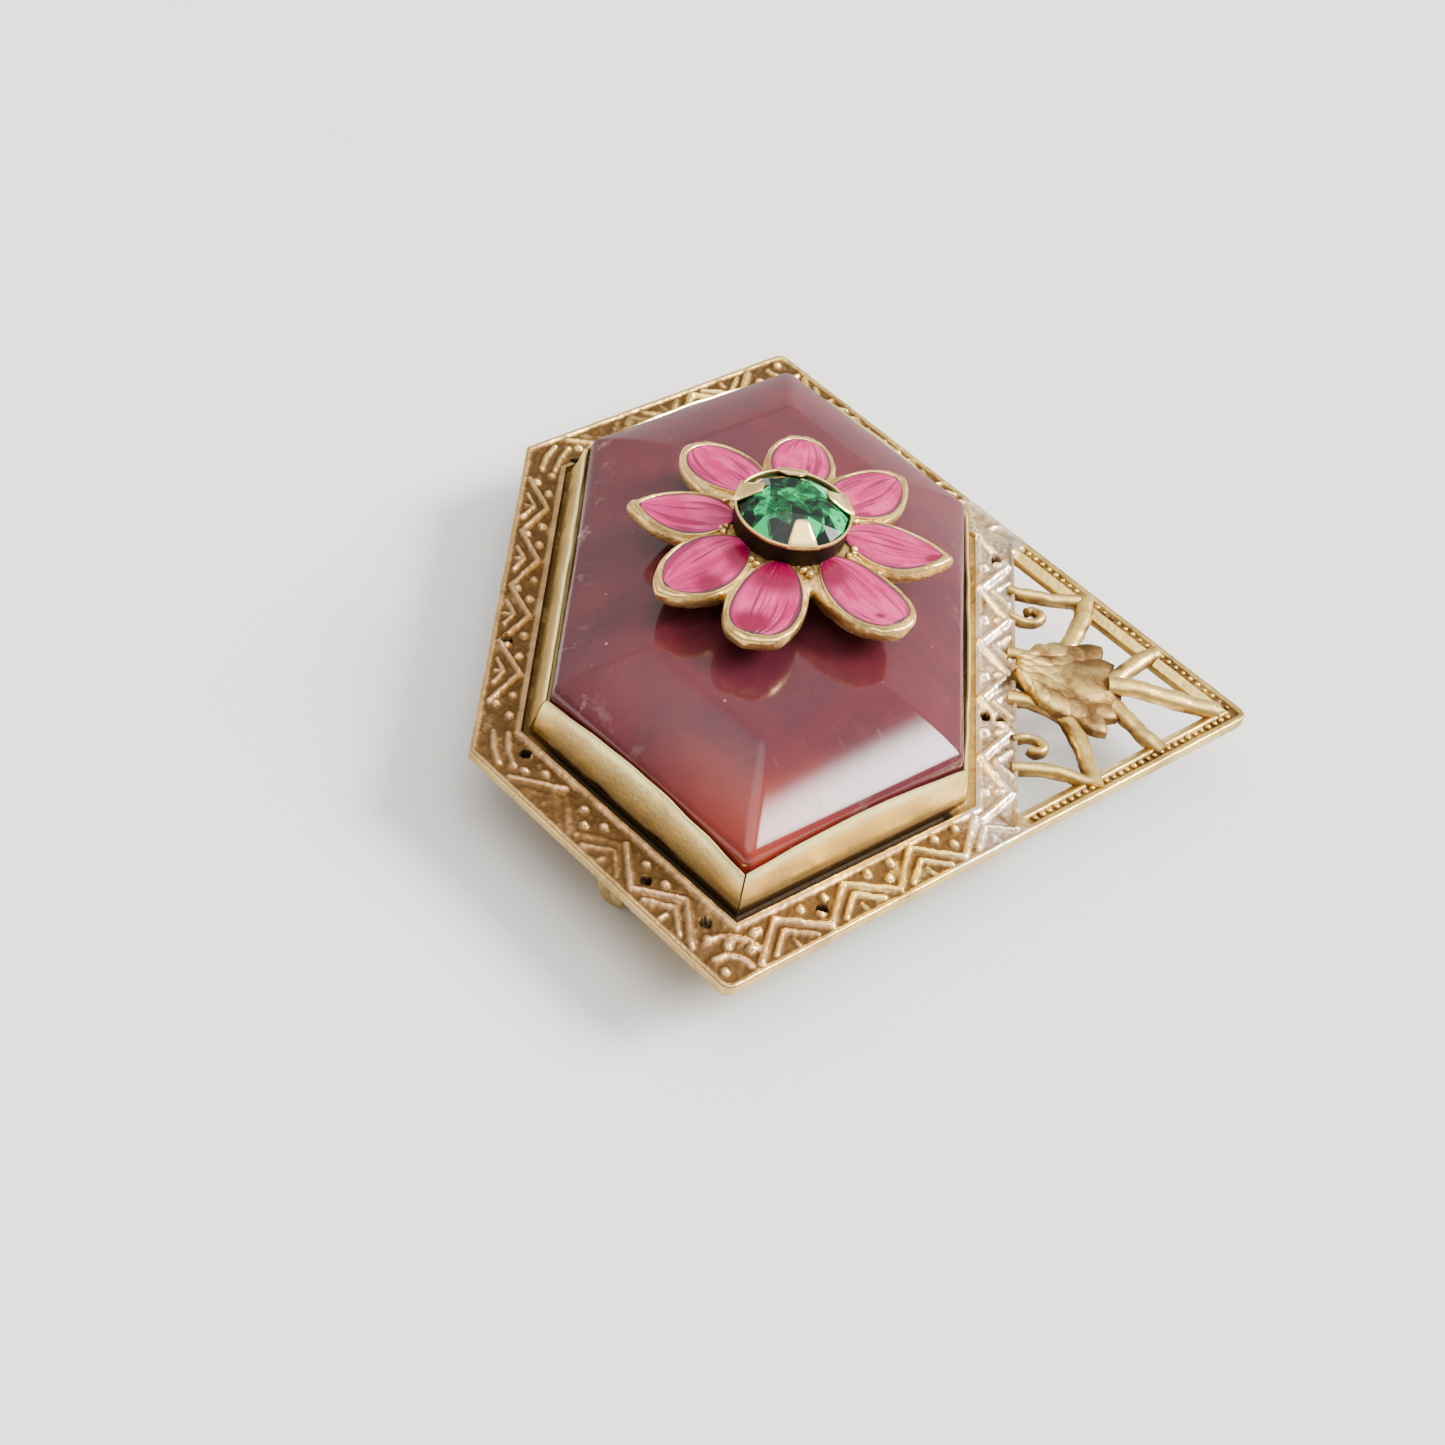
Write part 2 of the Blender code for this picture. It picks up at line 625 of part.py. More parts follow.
def rotor(finish):
    """A slotted sleeve in the catch that rolls over the pin, with a thumb lever on its outer end."""
    centre = (LINE_X, CATCH_Y, PIN_AXIS_Z)
    profile = []
    for radius, steps in ((ROTOR_RADIUS, range(ROTOR_STEPS + 1)), (ROTOR_BORE, range(ROTOR_STEPS, -1, -1))):
        slot = asin(MOUTH / 2 / radius)
        for i in steps:
            turn = -pi / 2 + slot + (2 * pi - 2 * slot) * i / ROTOR_STEPS
            profile.append((LINE_X + radius * cos(turn), PIN_AXIS_Z + radius * sin(turn)))
    inner_end = CATCH_Y + CATCH_HALF + PLAY
    lever_start = CATCH_Y - CATCH_HALF - PLAY
    outer_end = lever_start - LEVER_THICK
    sleeve = loft([[(x, y, z) for x, z in profile] for y in (inner_end, outer_end)])
    base = solid("catch_rotor", *sleeve, finish, pivot=centre)
    shoulder = LEVER_REACH - LEVER_HALF * 0.7
    arm = [(LINE_X + LEVER_ROOT, PIN_AXIS_Z - LEVER_HALF), (LINE_X + shoulder, PIN_AXIS_Z - LEVER_HALF * 0.7),
           (LINE_X + LEVER_REACH, PIN_AXIS_Z), (LINE_X + shoulder, PIN_AXIS_Z + LEVER_HALF * 0.7),
           (LINE_X + LEVER_ROOT, PIN_AXIS_Z + LEVER_HALF)]
    lever = loft([[(x, y, z) for x, z in arm] for y in (lever_start, outer_end)])
    combine(base, solid("rotor_lever", *lever, finish), "UNION")
    return base


# ---------------------------------------------------------------- the whole brooch

def clear_scene():
    for old in list(bpy.data.objects):
        bpy.data.objects.remove(old, do_unlink=True)


def build():
    clear_scene()
    stamped = material("stamped_brass", (0.58, 0.43, 0.24), 0.38, 1.0)
    polished = material("polished_brass", (0.82, 0.68, 0.38), 0.25, 1.0)
    carnelian = material("carnelian_glass", (0.30, 0.06, 0.05), 0.06, 0.0, 0.4)
    tin = material("tin_foil", (0.62, 0.55, 0.50), 0.35, 1.0)
    cast = material("cast_brass", (0.80, 0.66, 0.40), 0.33, 1.0)
    pink = material("pink_enamel", (0.78, 0.13, 0.26), 0.18, 0.0)
    emerald = material("emerald_glass", (0.01, 0.25, 0.10), 0.03, 0.0, 0.6)
    wire = material("nickel_wire", (0.60, 0.57, 0.52), 0.30, 1.0)
    plate(stamped)
    tray(polished)
    foil(tin)
    stone(carnelian)
    flower(cast)
    for number in range(len(PETAL_ANGLES)):
        enamel(number, pink)
    cup(polished)
    chaton(emerald)
    rivet(cast)
    washer(cast)
    hinge_base(stamped)
    axle(wire)
    stem(wire)
    catch_housing(stamped)
    rotor(stamped)


build()
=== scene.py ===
"""Looks of the kite brooch: stamped plate, pierced tail, red stone in its tray, flower and fittings.

Sizes are in millimetres in the plate's own places: x from the flat edge, y across, z above the plate's face.
row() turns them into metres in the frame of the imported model.
"""

from math import ceil, cos, hypot, pi, radians, sin, tan

import bmesh
import bpy
import numpy as np
from mathutils import Matrix, Vector
from mathutils.geometry import tessellate_polygon


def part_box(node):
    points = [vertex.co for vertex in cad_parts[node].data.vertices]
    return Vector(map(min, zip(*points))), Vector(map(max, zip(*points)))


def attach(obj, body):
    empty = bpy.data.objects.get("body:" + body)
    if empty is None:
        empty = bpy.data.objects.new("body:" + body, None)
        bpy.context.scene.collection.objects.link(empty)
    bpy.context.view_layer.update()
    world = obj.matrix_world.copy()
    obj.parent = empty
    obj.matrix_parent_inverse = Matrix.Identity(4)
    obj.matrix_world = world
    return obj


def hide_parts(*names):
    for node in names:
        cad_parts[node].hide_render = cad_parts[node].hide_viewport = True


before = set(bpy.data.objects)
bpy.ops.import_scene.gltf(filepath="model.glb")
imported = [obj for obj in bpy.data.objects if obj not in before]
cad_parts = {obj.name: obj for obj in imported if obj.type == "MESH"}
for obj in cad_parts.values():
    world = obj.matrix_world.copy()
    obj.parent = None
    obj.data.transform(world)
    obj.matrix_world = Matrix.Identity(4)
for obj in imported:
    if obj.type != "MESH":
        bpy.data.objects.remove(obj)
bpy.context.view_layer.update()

MM = 0.001
PLATE_THICK = 0.7
PLATE_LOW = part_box("frame_plate")[0]
FLAT_EDGE = PLATE_LOW.x
FACE_Z = PLATE_LOW.z + PLATE_THICK * MM

# Plate and pierced tail
LENGTH = 40.0
HALF_WIDTH = 24.5
FLAT_EDGE_HALF = 11.9
CORNER_X = 13.6
CORNER_ROUND = 0.6
BORDER = 1.35
STRIP_X = 27.35
KITE = ((0.0, -FLAT_EDGE_HALF), (CORNER_X, -HALF_WIDTH), (LENGTH, 0.0), (CORNER_X, HALF_WIDTH),
        (0.0, FLAT_EDGE_HALF))

# Tray, stone and channel
TRAY_X = 13.75
TRAY_Y = 0.3
TRAY_HALF = 10.9
TRAY_SHOULDER = 10.15
TRAY_POINT = 19.9
CHANNEL = 0.55

# Flower and cup
FLOWER_X = 13.9
STONE_TABLE = 4.75
FLOWER_LOW = 5.9
FLOWER_TOP = 6.85
RIM = 0.34


# ---------------------------------------------------------------- meshes

def row(points):
    return np.asarray(points, float) * MM + (FLAT_EDGE, 0.0, FACE_Z)


def placed(name, data):
    """A new object at the origin of the scene."""
    made = bpy.data.objects.new(name, data)
    bpy.context.scene.collection.objects.link(made)
    return made


def piece_from(name, node, slot, shape, sharp=35.0, marks=None):
    """A visible piece from plate places, with named values kept at its points for the finish to read."""
    points, faces = shape
    mesh = bpy.data.meshes.new(name)
    mesh.from_pydata(row(points).tolist(), [], faces)
    mesh.materials.append(FINISHES[slot])
    mesh.shade_smooth()
    mesh.set_sharp_from_angle(angle=radians(sharp))
    for key, values in (marks or {}).items():
        mesh.attributes.new(key, "FLOAT", "POINT").data.foreach_set("value", np.asarray(values, np.float32))
    return fit(placed(name, mesh), node)


def fit(piece, node, body="brooch"):
    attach(piece, body)
    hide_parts(node)
    return piece


def loft(rings, closed=False):
    """Points and faces of a skin over rings of equal count, with end caps or closed on itself."""
    count = len(rings[0])
    points = [tuple(p) for ring in rings for p in ring]
    faces = []
    for r in range(len(rings) if closed else len(rings) - 1):
        low = r * count
        high = ((r + 1) % len(rings)) * count
        for i in range(count):
            j = (i + 1) % count
            faces.append((low + i, low + j, high + j, high + i))
    if not closed:
        faces.append(tuple(reversed(range(count))))
        faces.append(tuple(range((len(rings) - 1) * count, len(rings) * count)))
    return points, faces


def gathered(parts):
    """Several (points, faces) shapes as one."""
    points, faces = [], []
    for some_points, some_faces in parts:
        start = len(points)
        points.extend(some_points)
        faces.extend([tuple(start + i for i in face) for face in some_faces])
    return points, faces


def lerp(a, b, t):
    return tuple(p + (q - p) * t for p, q in zip(a, b))


def step(low, high, value):
    """0 below low, 1 above high, and smooth between."""
    t = np.clip((value - low) / (high - low), 0.0, 1.0)
    return t * t * (3 - 2 * t)


def ripple(x, y, size, seed):
    """Even random swell over a plane, about -1 to 1, with waves of about that size."""
    rng = np.random.default_rng(seed)
    total = np.zeros_like(np.asarray(x, float))
    waves = 14
    for _ in range(waves):
        turn = rng.uniform(0, 2 * pi)
        pace = 2 * pi / size * rng.uniform(0.5, 1.4)
        total = total + np.sin(pace * (x * cos(turn) + y * sin(turn)) + rng.uniform(0, 2 * pi))
    return total / waves ** 0.5


# ---------------------------------------------------------------- node helpers

def plug(tree, node, values):
    """Links a node's inputs to sockets, or sets them to plain values."""
    for key, value in dict(values).items():
        if isinstance(value, bpy.types.NodeSocket):
            tree.links.new(value, node.inputs[key])
        else:
            node.inputs[key].default_value = value


def add(tree, kind, inputs=(), **settings):
    made = tree.nodes.new(kind)
    for key, value in settings.items():
        setattr(made, key, value)
    plug(tree, made, inputs)
    return made


def calc(tree, operation, a, b=0.0, clamp=False):
    return add(tree, "ShaderNodeMath", {0: a, 1: b}, operation=operation, use_clamp=clamp).outputs[0]


def plus(tree, a, b, clamp=False):
    return calc(tree, "ADD", a, b, clamp)


def minus(tree, a, b, clamp=False):
    return calc(tree, "SUBTRACT", a, b, clamp)


def times(tree, a, b, clamp=False):
    return calc(tree, "MULTIPLY", a, b, clamp)


def own_place(tree):
    return add(tree, "ShaderNodeTexCoord").outputs["Object"]


def blend(tree, factor, a, b, kind="MIX"):
    made = add(tree, "ShaderNodeMix", {0: factor, 6: a, 7: b}, data_type="RGBA", blend_type=kind)
    return made.outputs[2]


def spread(tree, value, low, high, to_low=0.0, to_high=1.0):
    """The value stretched from one range to another and held at its ends."""
    names = {"Value": value, "From Min": low, "From Max": high, "To Min": to_low, "To Max": to_high}
    return add(tree, "ShaderNodeMapRange", names).outputs[0]


def noise(tree, where, scale, detail=3.0, rough=0.55, warp=0.0):
    names = {"Vector": where, "Scale": scale, "Detail": detail, "Roughness": rough, "Distortion": warp}
    return add(tree, "ShaderNodeTexNoise", names).outputs["Fac"]


def mark(tree, name):
    return add(tree, "ShaderNodeAttribute", attribute_name=name).outputs["Fac"]


def color(r, g, b):
    return (r, g, b, 1.0)


def new_group(name, inputs, outputs):
    """An empty shader group with named sockets, and its two end nodes."""
    group = bpy.data.node_groups.new(name, "ShaderNodeTree")
    for label, kind, value in inputs:
        socket = group.interface.new_socket(label, in_out="INPUT", socket_type="NodeSocket" + kind)
        socket.default_value = value
    for label, kind in outputs:
        group.interface.new_socket(label, in_out="OUTPUT", socket_type="NodeSocket" + kind)
    return group, group.nodes.new("NodeGroupInput").outputs, group.nodes.new("NodeGroupOutput").inputs


def use(tree, group, inputs=()):
    return add(tree, "ShaderNodeGroup", inputs, node_tree=group).outputs


# ---------------------------------------------------------------- effects shared by the finishes

def shade_and_tarnish_group():
    """Old brass: clean colour, lighter where worn and at painted highlights, brown in hollows as patina and
    painted shade, near-black in the deepest as painted shade, with clouds and specks of tarnish.
    """
    group, given, out = new_group("tarnish", [
        ("Clean", "Color", color(0.8, 0.6, 0.3)), ("Tarnish", "Color", color(0.2, 0.1, 0.05)),
        ("Patina And Shade", "Float", 0.0), ("Wear And Highlight", "Float", 0.0), ("Cloud Scale", "Float", 300.0),
        ("Amount", "Float", 0.5)], [("Color", "Color"), ("Roughness", "Float")])
    where = own_place(group)
    clouds = noise(group, where, given["Cloud Scale"], 5.0, 0.62, 0.6)
    fine = noise(group, where, times(group, given["Cloud Scale"], 6.0), 4.0, 0.7)
    specks = noise(group, where, times(group, given["Cloud Scale"], 11.0), 2.0, 0.6)
    cloudy = spread(group, plus(group, clouds, times(group, fine, 0.5)), 0.62, 0.98)
    # tarnish clouds and specks, plus patina and painted shade from the hollow mark, less where worn or
    # highlighted
    tarnish_and_shade = times(group, cloudy, given["Amount"])
    tarnish_and_shade = plus(group, tarnish_and_shade, times(group, given["Patina And Shade"], 0.85))
    tarnish_and_shade = plus(group, tarnish_and_shade, times(group, spread(group, specks, 0.62, 0.72), 0.25))
    tarnish_and_shade = minus(group, tarnish_and_shade, times(group, given["Wear And Highlight"], 0.75), clamp=True)
    tint = blend(group, tarnish_and_shade, given["Clean"], given["Tarnish"])
    # painted shade: near-black where the patina and shade mark passes 0.85, in trenches, holes and under rims
    tint = blend(group, spread(group, given["Patina And Shade"], 0.85, 1.35), tint, color(0.030, 0.020, 0.012))
    # lighter and brighter on worn places and painted highlights
    shine = blend(group, 1.0, given["Clean"], color(1.16, 1.16, 1.16), "MULTIPLY")
    tint = blend(group, times(group, given["Wear And Highlight"], 0.75, clamp=True), tint, shine)
    rough = plus(group, times(group, tarnish_and_shade, 0.28), times(group, fine, 0.16))
    group.links.new(tint, out["Color"])
    group.links.new(rough, out["Roughness"])
    return group


def handling_group():
    """Pits, soft dents and fine scratches of handled metal or glass, as a height and a scratch mask."""
    group, given, out = new_group("handling", [
        ("Pit Scale", "Float", 2500.0), ("Dent Scale", "Float", 500.0), ("Scratches", "Float", 0.5),
        ("Direction", "Float", 0.4)], [("Height", "Float"), ("Scratch", "Float")])
    where = own_place(group)
    pits = add(group, "ShaderNodeTexVoronoi", {"Vector": where, "Scale": given["Pit Scale"]})
    pits = spread(group, pits.outputs["Distance"], 0.05, 0.42)
    dents = noise(group, where, given["Dent Scale"], 2.0, 0.5)
    turned = add(group, "ShaderNodeVectorRotate", {"Vector": where, "Angle": given["Direction"]},
                 rotation_type="Z_AXIS").outputs[0]
    drawn = add(group, "ShaderNodeMapping", {"Vector": turned, "Scale": (140.0, 4200.0, 900.0)}).outputs[0]
    lines = noise(group, drawn, 1.0, 2.0, 0.5, 0.3)
    scratch = times(group, spread(group, lines, 0.66, 0.74), given["Scratches"])
    height = plus(group, times(group, pits, 0.35), dents)
    height = minus(group, height, times(group, scratch, 0.3))
    group.links.new(height, out["Height"])
    group.links.new(scratch, out["Scratch"])
    return group


SHADE_AND_TARNISH = shade_and_tarnish_group()
HANDLING = handling_group()


def finish_named(name):
    made = bpy.data.materials.new(name)
    made.use_nodes = True
    return made, made.node_tree, made.node_tree.nodes["Principled BSDF"]


def wire(tree, shader, **links):
    plug(tree, shader, {key.replace("_", " "): value for key, value in links.items()})


def bumped(tree, height, depth, strength=1.0):
    """A normal from a height, with the depth in millimetres."""
    names = {"Height": height, "Distance": depth * MM, "Strength": strength}
    return add(tree, "ShaderNodeBump", names).outputs[0]


def brass(name, clean, tarnish, amount=0.5, cloud=300.0, base_rough=0.24, depth=0.02, pit=2600.0, dent=700.0,
          scratches=0.5, recolor=None):
    """A brass finish. It reads the points' patina_and_shade and wear_and_highlight values where a piece has
    them: patina with painted shade, and wear with painted highlight.
    """
    made, tree, shader = finish_named(name)
    bright = color(*clean) if recolor is None else recolor(tree, color(*clean))
    aged = use(tree, SHADE_AND_TARNISH, {"Clean": bright, "Tarnish": color(*tarnish), "Patina And Shade": mark(tree, "patina_and_shade"),
                               "Wear And Highlight": mark(tree, "wear_and_highlight"), "Cloud Scale": cloud, "Amount": amount})
    handled = use(tree, HANDLING, {"Pit Scale": pit, "Dent Scale": dent, "Scratches": scratches})
    rough = plus(tree, aged["Roughness"], base_rough)
    rough = plus(tree, rough, times(tree, handled["Scratch"], 0.15))
    wire(tree, shader, Base_Color=aged["Color"], Roughness=rough, Metallic=1.0,
         Normal=bumped(tree, handled["Height"], depth))
    return made


# ---------------------------------------------------------------- finishes

def stamped_brass():
    """The plate's metal: coppery towards the flat edge and as painted shade low on the tail's bars, yellow at
    the lips, pinkish silver on the strip.
    """
    def recolor(tree, clean):
        coppery = blend(tree, mark(tree, "copper_tint"), clean, color(0.54, 0.33, 0.16))
        return blend(tree, mark(tree, "silver"), coppery, color(0.90, 0.74, 0.60))
    return brass("stamped_brass", (0.80, 0.56, 0.17), (0.165, 0.085, 0.028), 0.75, 420.0, 0.24, 0.03,
                 recolor=recolor)


def carnelian_glass():
    """Red-brown glass with a painted glow of light, warmer towards the near corner, and faint clouds under a
    polished skin.
    """
    made, tree, shader = finish_named("carnelian_glass")
    where = own_place(tree)
    clouds = noise(tree, where, 120.0, 4.0, 0.55, 1.2)
    veins = noise(tree, where, 420.0, 3.0, 0.6, 2.0)
    cloudy = spread(tree, clouds, 0.36, 0.66)
    deep = blend(tree, cloudy, color(0.070, 0.013, 0.021), color(0.112, 0.016, 0.023))
    veined = times(tree, spread(tree, veins, 0.5, 0.75), 0.2)
    deep = blend(tree, veined, deep, color(0.18, 0.030, 0.028))
    # painted glow: light through the stone painted as warm red towards the near corner
    painted_glow = times(tree, mark(tree, "painted_glow"), spread(tree, veins, 0.2, 0.6, 0.7, 1.0))
    tint = blend(tree, painted_glow, deep, color(0.24, 0.026, 0.014))
    dust = add(tree, "ShaderNodeTexVoronoi", {"Vector": where, "Scale": 640.0}).outputs["Distance"]
    dust = times(tree, spread(tree, dust, 0.07, 0.03), spread(tree, veins, 0.45, 0.6))
    scuffs = spread(tree, noise(tree, where, 700.0, 4.0, 0.7), 0.56, 0.68)
    scuffs = times(tree, scuffs, mark(tree, "scuffed"))
    pale = times(tree, plus(tree, dust, scuffs, clamp=True), 0.5)
    tint = blend(tree, pale, tint, color(0.66, 0.46, 0.40))
    handled = use(tree, HANDLING, {"Pit Scale": 900.0, "Dent Scale": 160.0, "Scratches": 0.6,
                                   "Direction": 0.9})
    rough = plus(tree, times(tree, handled["Scratch"], 0.18), 0.10)
    rough = plus(tree, rough, times(tree, pale, 0.5))
    rough = plus(tree, rough, times(tree, mark(tree, "dull"), 0.42))
    wire(tree, shader, Base_Color=tint, Roughness=rough, Metallic=0.0, IOR=1.46,
         Normal=bumped(tree, handled["Height"], 0.004, 0.5))
    return made


def pink_enamel():
    """Brushed-on enamel: lengthwise streaks of light and deep pink, a dark line round it and red stains."""
    made, tree, shader = finish_named("pink_enamel")
    uv = add(tree, "ShaderNodeUVMap", uv_map="petal").outputs[0]
    number = mark(tree, "petal_number")
    shifted = add(tree, "ShaderNodeCombineXYZ", {0: times(tree, number, 7.3), 2: number}).outputs[0]
    where = add(tree, "ShaderNodeVectorMath", {0: uv, 1: shifted}, operation="ADD").outputs[0]
    drawn = add(tree, "ShaderNodeMapping", {"Vector": where, "Scale": (5.5, 0.7, 1.0)}).outputs[0]
    streaks = noise(tree, drawn, 1.0, 2.0, 0.5, 0.15)
    furrows = spread(tree, noise(tree, drawn, 2.1, 1.0, 0.5, 0.1), 0.52, 0.64)
    thin = add(tree, "ShaderNodeMapping", {"Vector": where, "Scale": (26.0, 2.2, 1.0)}).outputs[0]
    hairs = noise(tree, thin, 1.0, 2.0, 0.6, 0.2)
    clouds = noise(tree, where, 2.2, 3.0, 0.6)
    striped = spread(tree, streaks, 0.38, 0.62)
    tint = blend(tree, striped, color(0.38, 0.003, 0.085), color(0.54, 0.012, 0.145))
    for share, over in (
        (times(tree, spread(tree, clouds, 0.45, 0.62), 0.55), color(0.74, 0.075, 0.21)),
        (times(tree, spread(tree, hairs, 0.5, 0.72), 0.2), color(0.82, 0.16, 0.31)),
        (times(tree, furrows, 0.85), color(0.21, 0.002, 0.050)),
        (mark(tree, "stain"), color(0.20, 0.0004, 0.034)),
        (mark(tree, "outline"), color(0.060, 0.020, 0.035)),
    ):
        tint = blend(tree, share, tint, over)
    rough = plus(tree, times(tree, streaks, 0.16), 0.14)
    height = minus(tree, streaks, times(tree, furrows, 0.7))
    wire(tree, shader, Base_Color=tint, Roughness=rough, Metallic=0.0, IOR=1.42,
         Normal=bumped(tree, height, 0.05, 0.6))
    return made


def emerald_glass():
    """Green glass painted dark, mid and bright green facet by facet and in patches, a painted sparkle and
    shade for the facets' reflections.
    """
    made, tree, shader = finish_named("emerald_glass")
    where = own_place(tree)
    streaks = noise(tree, where, 1300.0, 2.0, 0.5, 2.0)
    cells = add(tree, "ShaderNodeTexVoronoi", {"Vector": where, "Scale": 1150.0, "Randomness": 0.8})
    cell = add(tree, "ShaderNodeSeparateColor", {"Color": cells.outputs["Color"]}).outputs[0]
    # painted sparkle and shade from each facet's share of light and from random patches
    depth = plus(tree, times(tree, mark(tree, "facet_glint"), 0.45), times(tree, cell, 0.55))
    depth = plus(tree, depth, times(tree, minus(tree, streaks, 0.5), 0.9), clamp=True)
    lit = spread(tree, depth, 0.34, 0.60)
    tint = blend(tree, lit, color(0.0002, 0.006, 0.003), color(0.001, 0.115, 0.030))
    tint = blend(tree, spread(tree, depth, 0.60, 0.82), tint, color(0.012, 0.55, 0.17))
    handled = use(tree, HANDLING, {"Pit Scale": 1800.0, "Dent Scale": 300.0, "Scratches": 0.3})
    rough = plus(tree, times(tree, handled["Scratch"], 0.1), 0.03)
    wire(tree, shader, Base_Color=tint, Roughness=rough, Metallic=0.0, IOR=1.36, Transmission_Weight=0.15,
         Normal=bumped(tree, handled["Height"], 0.002, 0.4))
    return made


# Each plain metal: clean and tarnished colours, share of tarnish, scale of its clouds, roughness, depth of
# its dents and, where they differ from the usual ones, the scales of pits and dents and share of scratches
METALS = (
    ("polished_brass", (1.0, 0.81, 0.34), (0.56, 0.36, 0.14), 0.55, 560.0, 0.26, 0.025, 2200.0, 420.0, 0.8),
    ("cast_brass", (0.90, 0.62, 0.21), (0.28, 0.15, 0.05), 0.9, 620.0, 0.22, 0.06, 2400.0, 900.0, 0.3),
    ("cup_brass", (0.90, 0.64, 0.24), (0.10, 0.07, 0.035), 0.4, 500.0, 0.24, 0.015),
    ("rivet_brass", (0.72, 0.52, 0.22), (0.22, 0.13, 0.055), 0.6, 400.0, 0.26, 0.02),
    ("fittings_brass", (0.66, 0.47, 0.20), (0.20, 0.12, 0.05), 0.8, 260.0, 0.3, 0.02),
    ("pin_wire", (0.66, 0.61, 0.53), (0.28, 0.24, 0.18), 0.5, 500.0, 0.2, 0.01, 2600.0, 700.0, 0.9),
    ("tin_foil", (0.60, 0.53, 0.48), (0.30, 0.24, 0.2), 0.6, 400.0, 0.3, 0.03),
)
FINISHES = {metal[0]: brass(*metal) for metal in METALS}
FINISHES["stamped_brass"] = stamped_brass()
FINISHES["carnelian_glass"] = carnelian_glass()
FINISHES["pink_enamel"] = pink_enamel()
FINISHES["emerald_glass"] = emerald_glass()


# ---------------------------------------------------------------- outlines in plan

def inset_outline(corners, inset):
    """Moves every side of a convex anticlockwise outline inwards."""
    lines = []
    for i, (x0, y0) in enumerate(corners):
        x1, y1 = corners[(i + 1) % len(corners)]
        length = hypot(x1 - x0, y1 - y0)
        nx = -(y1 - y0) / length
        ny = (x1 - x0) / length
        lines.append((nx, ny, nx * x0 + ny * y0 + inset))
    moved = []
    for i in range(len(lines)):
        a1, b1, c1 = lines[i - 1]
        a2, b2, c2 = lines[i]
        det = a1 * b2 - a2 * b1
        moved.append(((c1 * b2 - c2 * b1) / det, (a1 * c2 - a2 * c1) / det))
    return moved


def side_depths(corners, x, y):
    """How far inside each side of an outline the points are."""
    depths = []
    for i, (x0, y0) in enumerate(corners):
        x1, y1 = corners[(i + 1) % len(corners)]
        length = hypot(x1 - x0, y1 - y0)
        depths.append(((x - x0) * -(y1 - y0) + (y - y0) * (x1 - x0)) / length)
    return np.array(depths)


def hexagon(inset=0.0):
    """The tray's corners, anticlockwise from the lower one beside the flat edge."""
    corners = []
    for i, j in ((-1, -1), (0, -1), (1, -1), (1, 1), (0, 1), (-1, 1)):
        reach = TRAY_SHOULDER if i else TRAY_POINT
        corners.append((TRAY_X + i * TRAY_HALF, TRAY_Y + j * reach))
    return inset_outline(corners, inset)


def window():
    """The tail's opening: its two corners at the strip and its point."""
    slope = HALF_WIDTH / (LENGTH - CORNER_X)
    half = (LENGTH - STRIP_X) * slope - BORDER * hypot(1, slope)
    return ((STRIP_X, -half), (STRIP_X + half / slope, 0.0), (STRIP_X, half))


def ease_corners(x, y):
    """Draws the plate's sharp corners in to small arcs."""
    corners = inset_outline(KITE, CORNER_ROUND)
    count = len(KITE)
    for i in (1, 2, 3):
        cx, cy = corners[i]
        normals = []
        for a, b in ((KITE[i - 1], KITE[i]), (KITE[i], KITE[(i + 1) % count])):
            length = hypot(b[0] - a[0], b[1] - a[1])
            normals.append(((b[1] - a[1]) / length, -(b[0] - a[0]) / length))
        qx = x - cx
        qy = y - cy
        reach = np.maximum(qx * normals[0][0] + qy * normals[0][1], qx * normals[1][0] + qy * normals[1][1])
        turn_in = normals[0][0] * qy - normals[0][1] * qx
        turn_out = qx * normals[1][1] - qy * normals[1][0]
        inside = (turn_in > 0) & (turn_out > 0) & (reach > 0)
        scale = np.where(inside, reach / np.maximum(np.hypot(qx, qy), 1e-9), 1.0)
        x = cx + qx * scale
        y = cy + qy * scale
    return x, y


# ---------------------------------------------------------------- relief of the stamped plate

LIP = 0.2
FIELD_DEPTH = 0.13
RIDGE = 0.25
RIDGE_RISE = 0.24
TAIL_START = 20.0
PITCH = 4.36
SILVERED = (23.5, 25.2)

# Each band: start and direction, first outer turn of its zigzag, depths of the outer and inner turns, number
# of outer turns, and wear in its middle
BANDS = (
    ("flat", (0.0, FLAT_EDGE_HALF), (0.0, -1.0), 2.7, 0.5, 1.75, 5, 0.0),
    ("near_left", (0.0, -FLAT_EDGE_HALF), (0.7336, -0.6796), 2.5, 0.5, 2.25, 4, 0.75),
    ("near_right", (CORNER_X, -HALF_WIDTH), (0.7330, 0.6802), 2.5, 0.5, 2.25, 4, 0.0),
)


def unworn(wear, u):
    """The share of the relief that is left at a place along a band worn in its middle."""
    return 1.0 - wear * float(step(2.5, 4.5, u) * (1 - step(8.0, 10.5, u)))


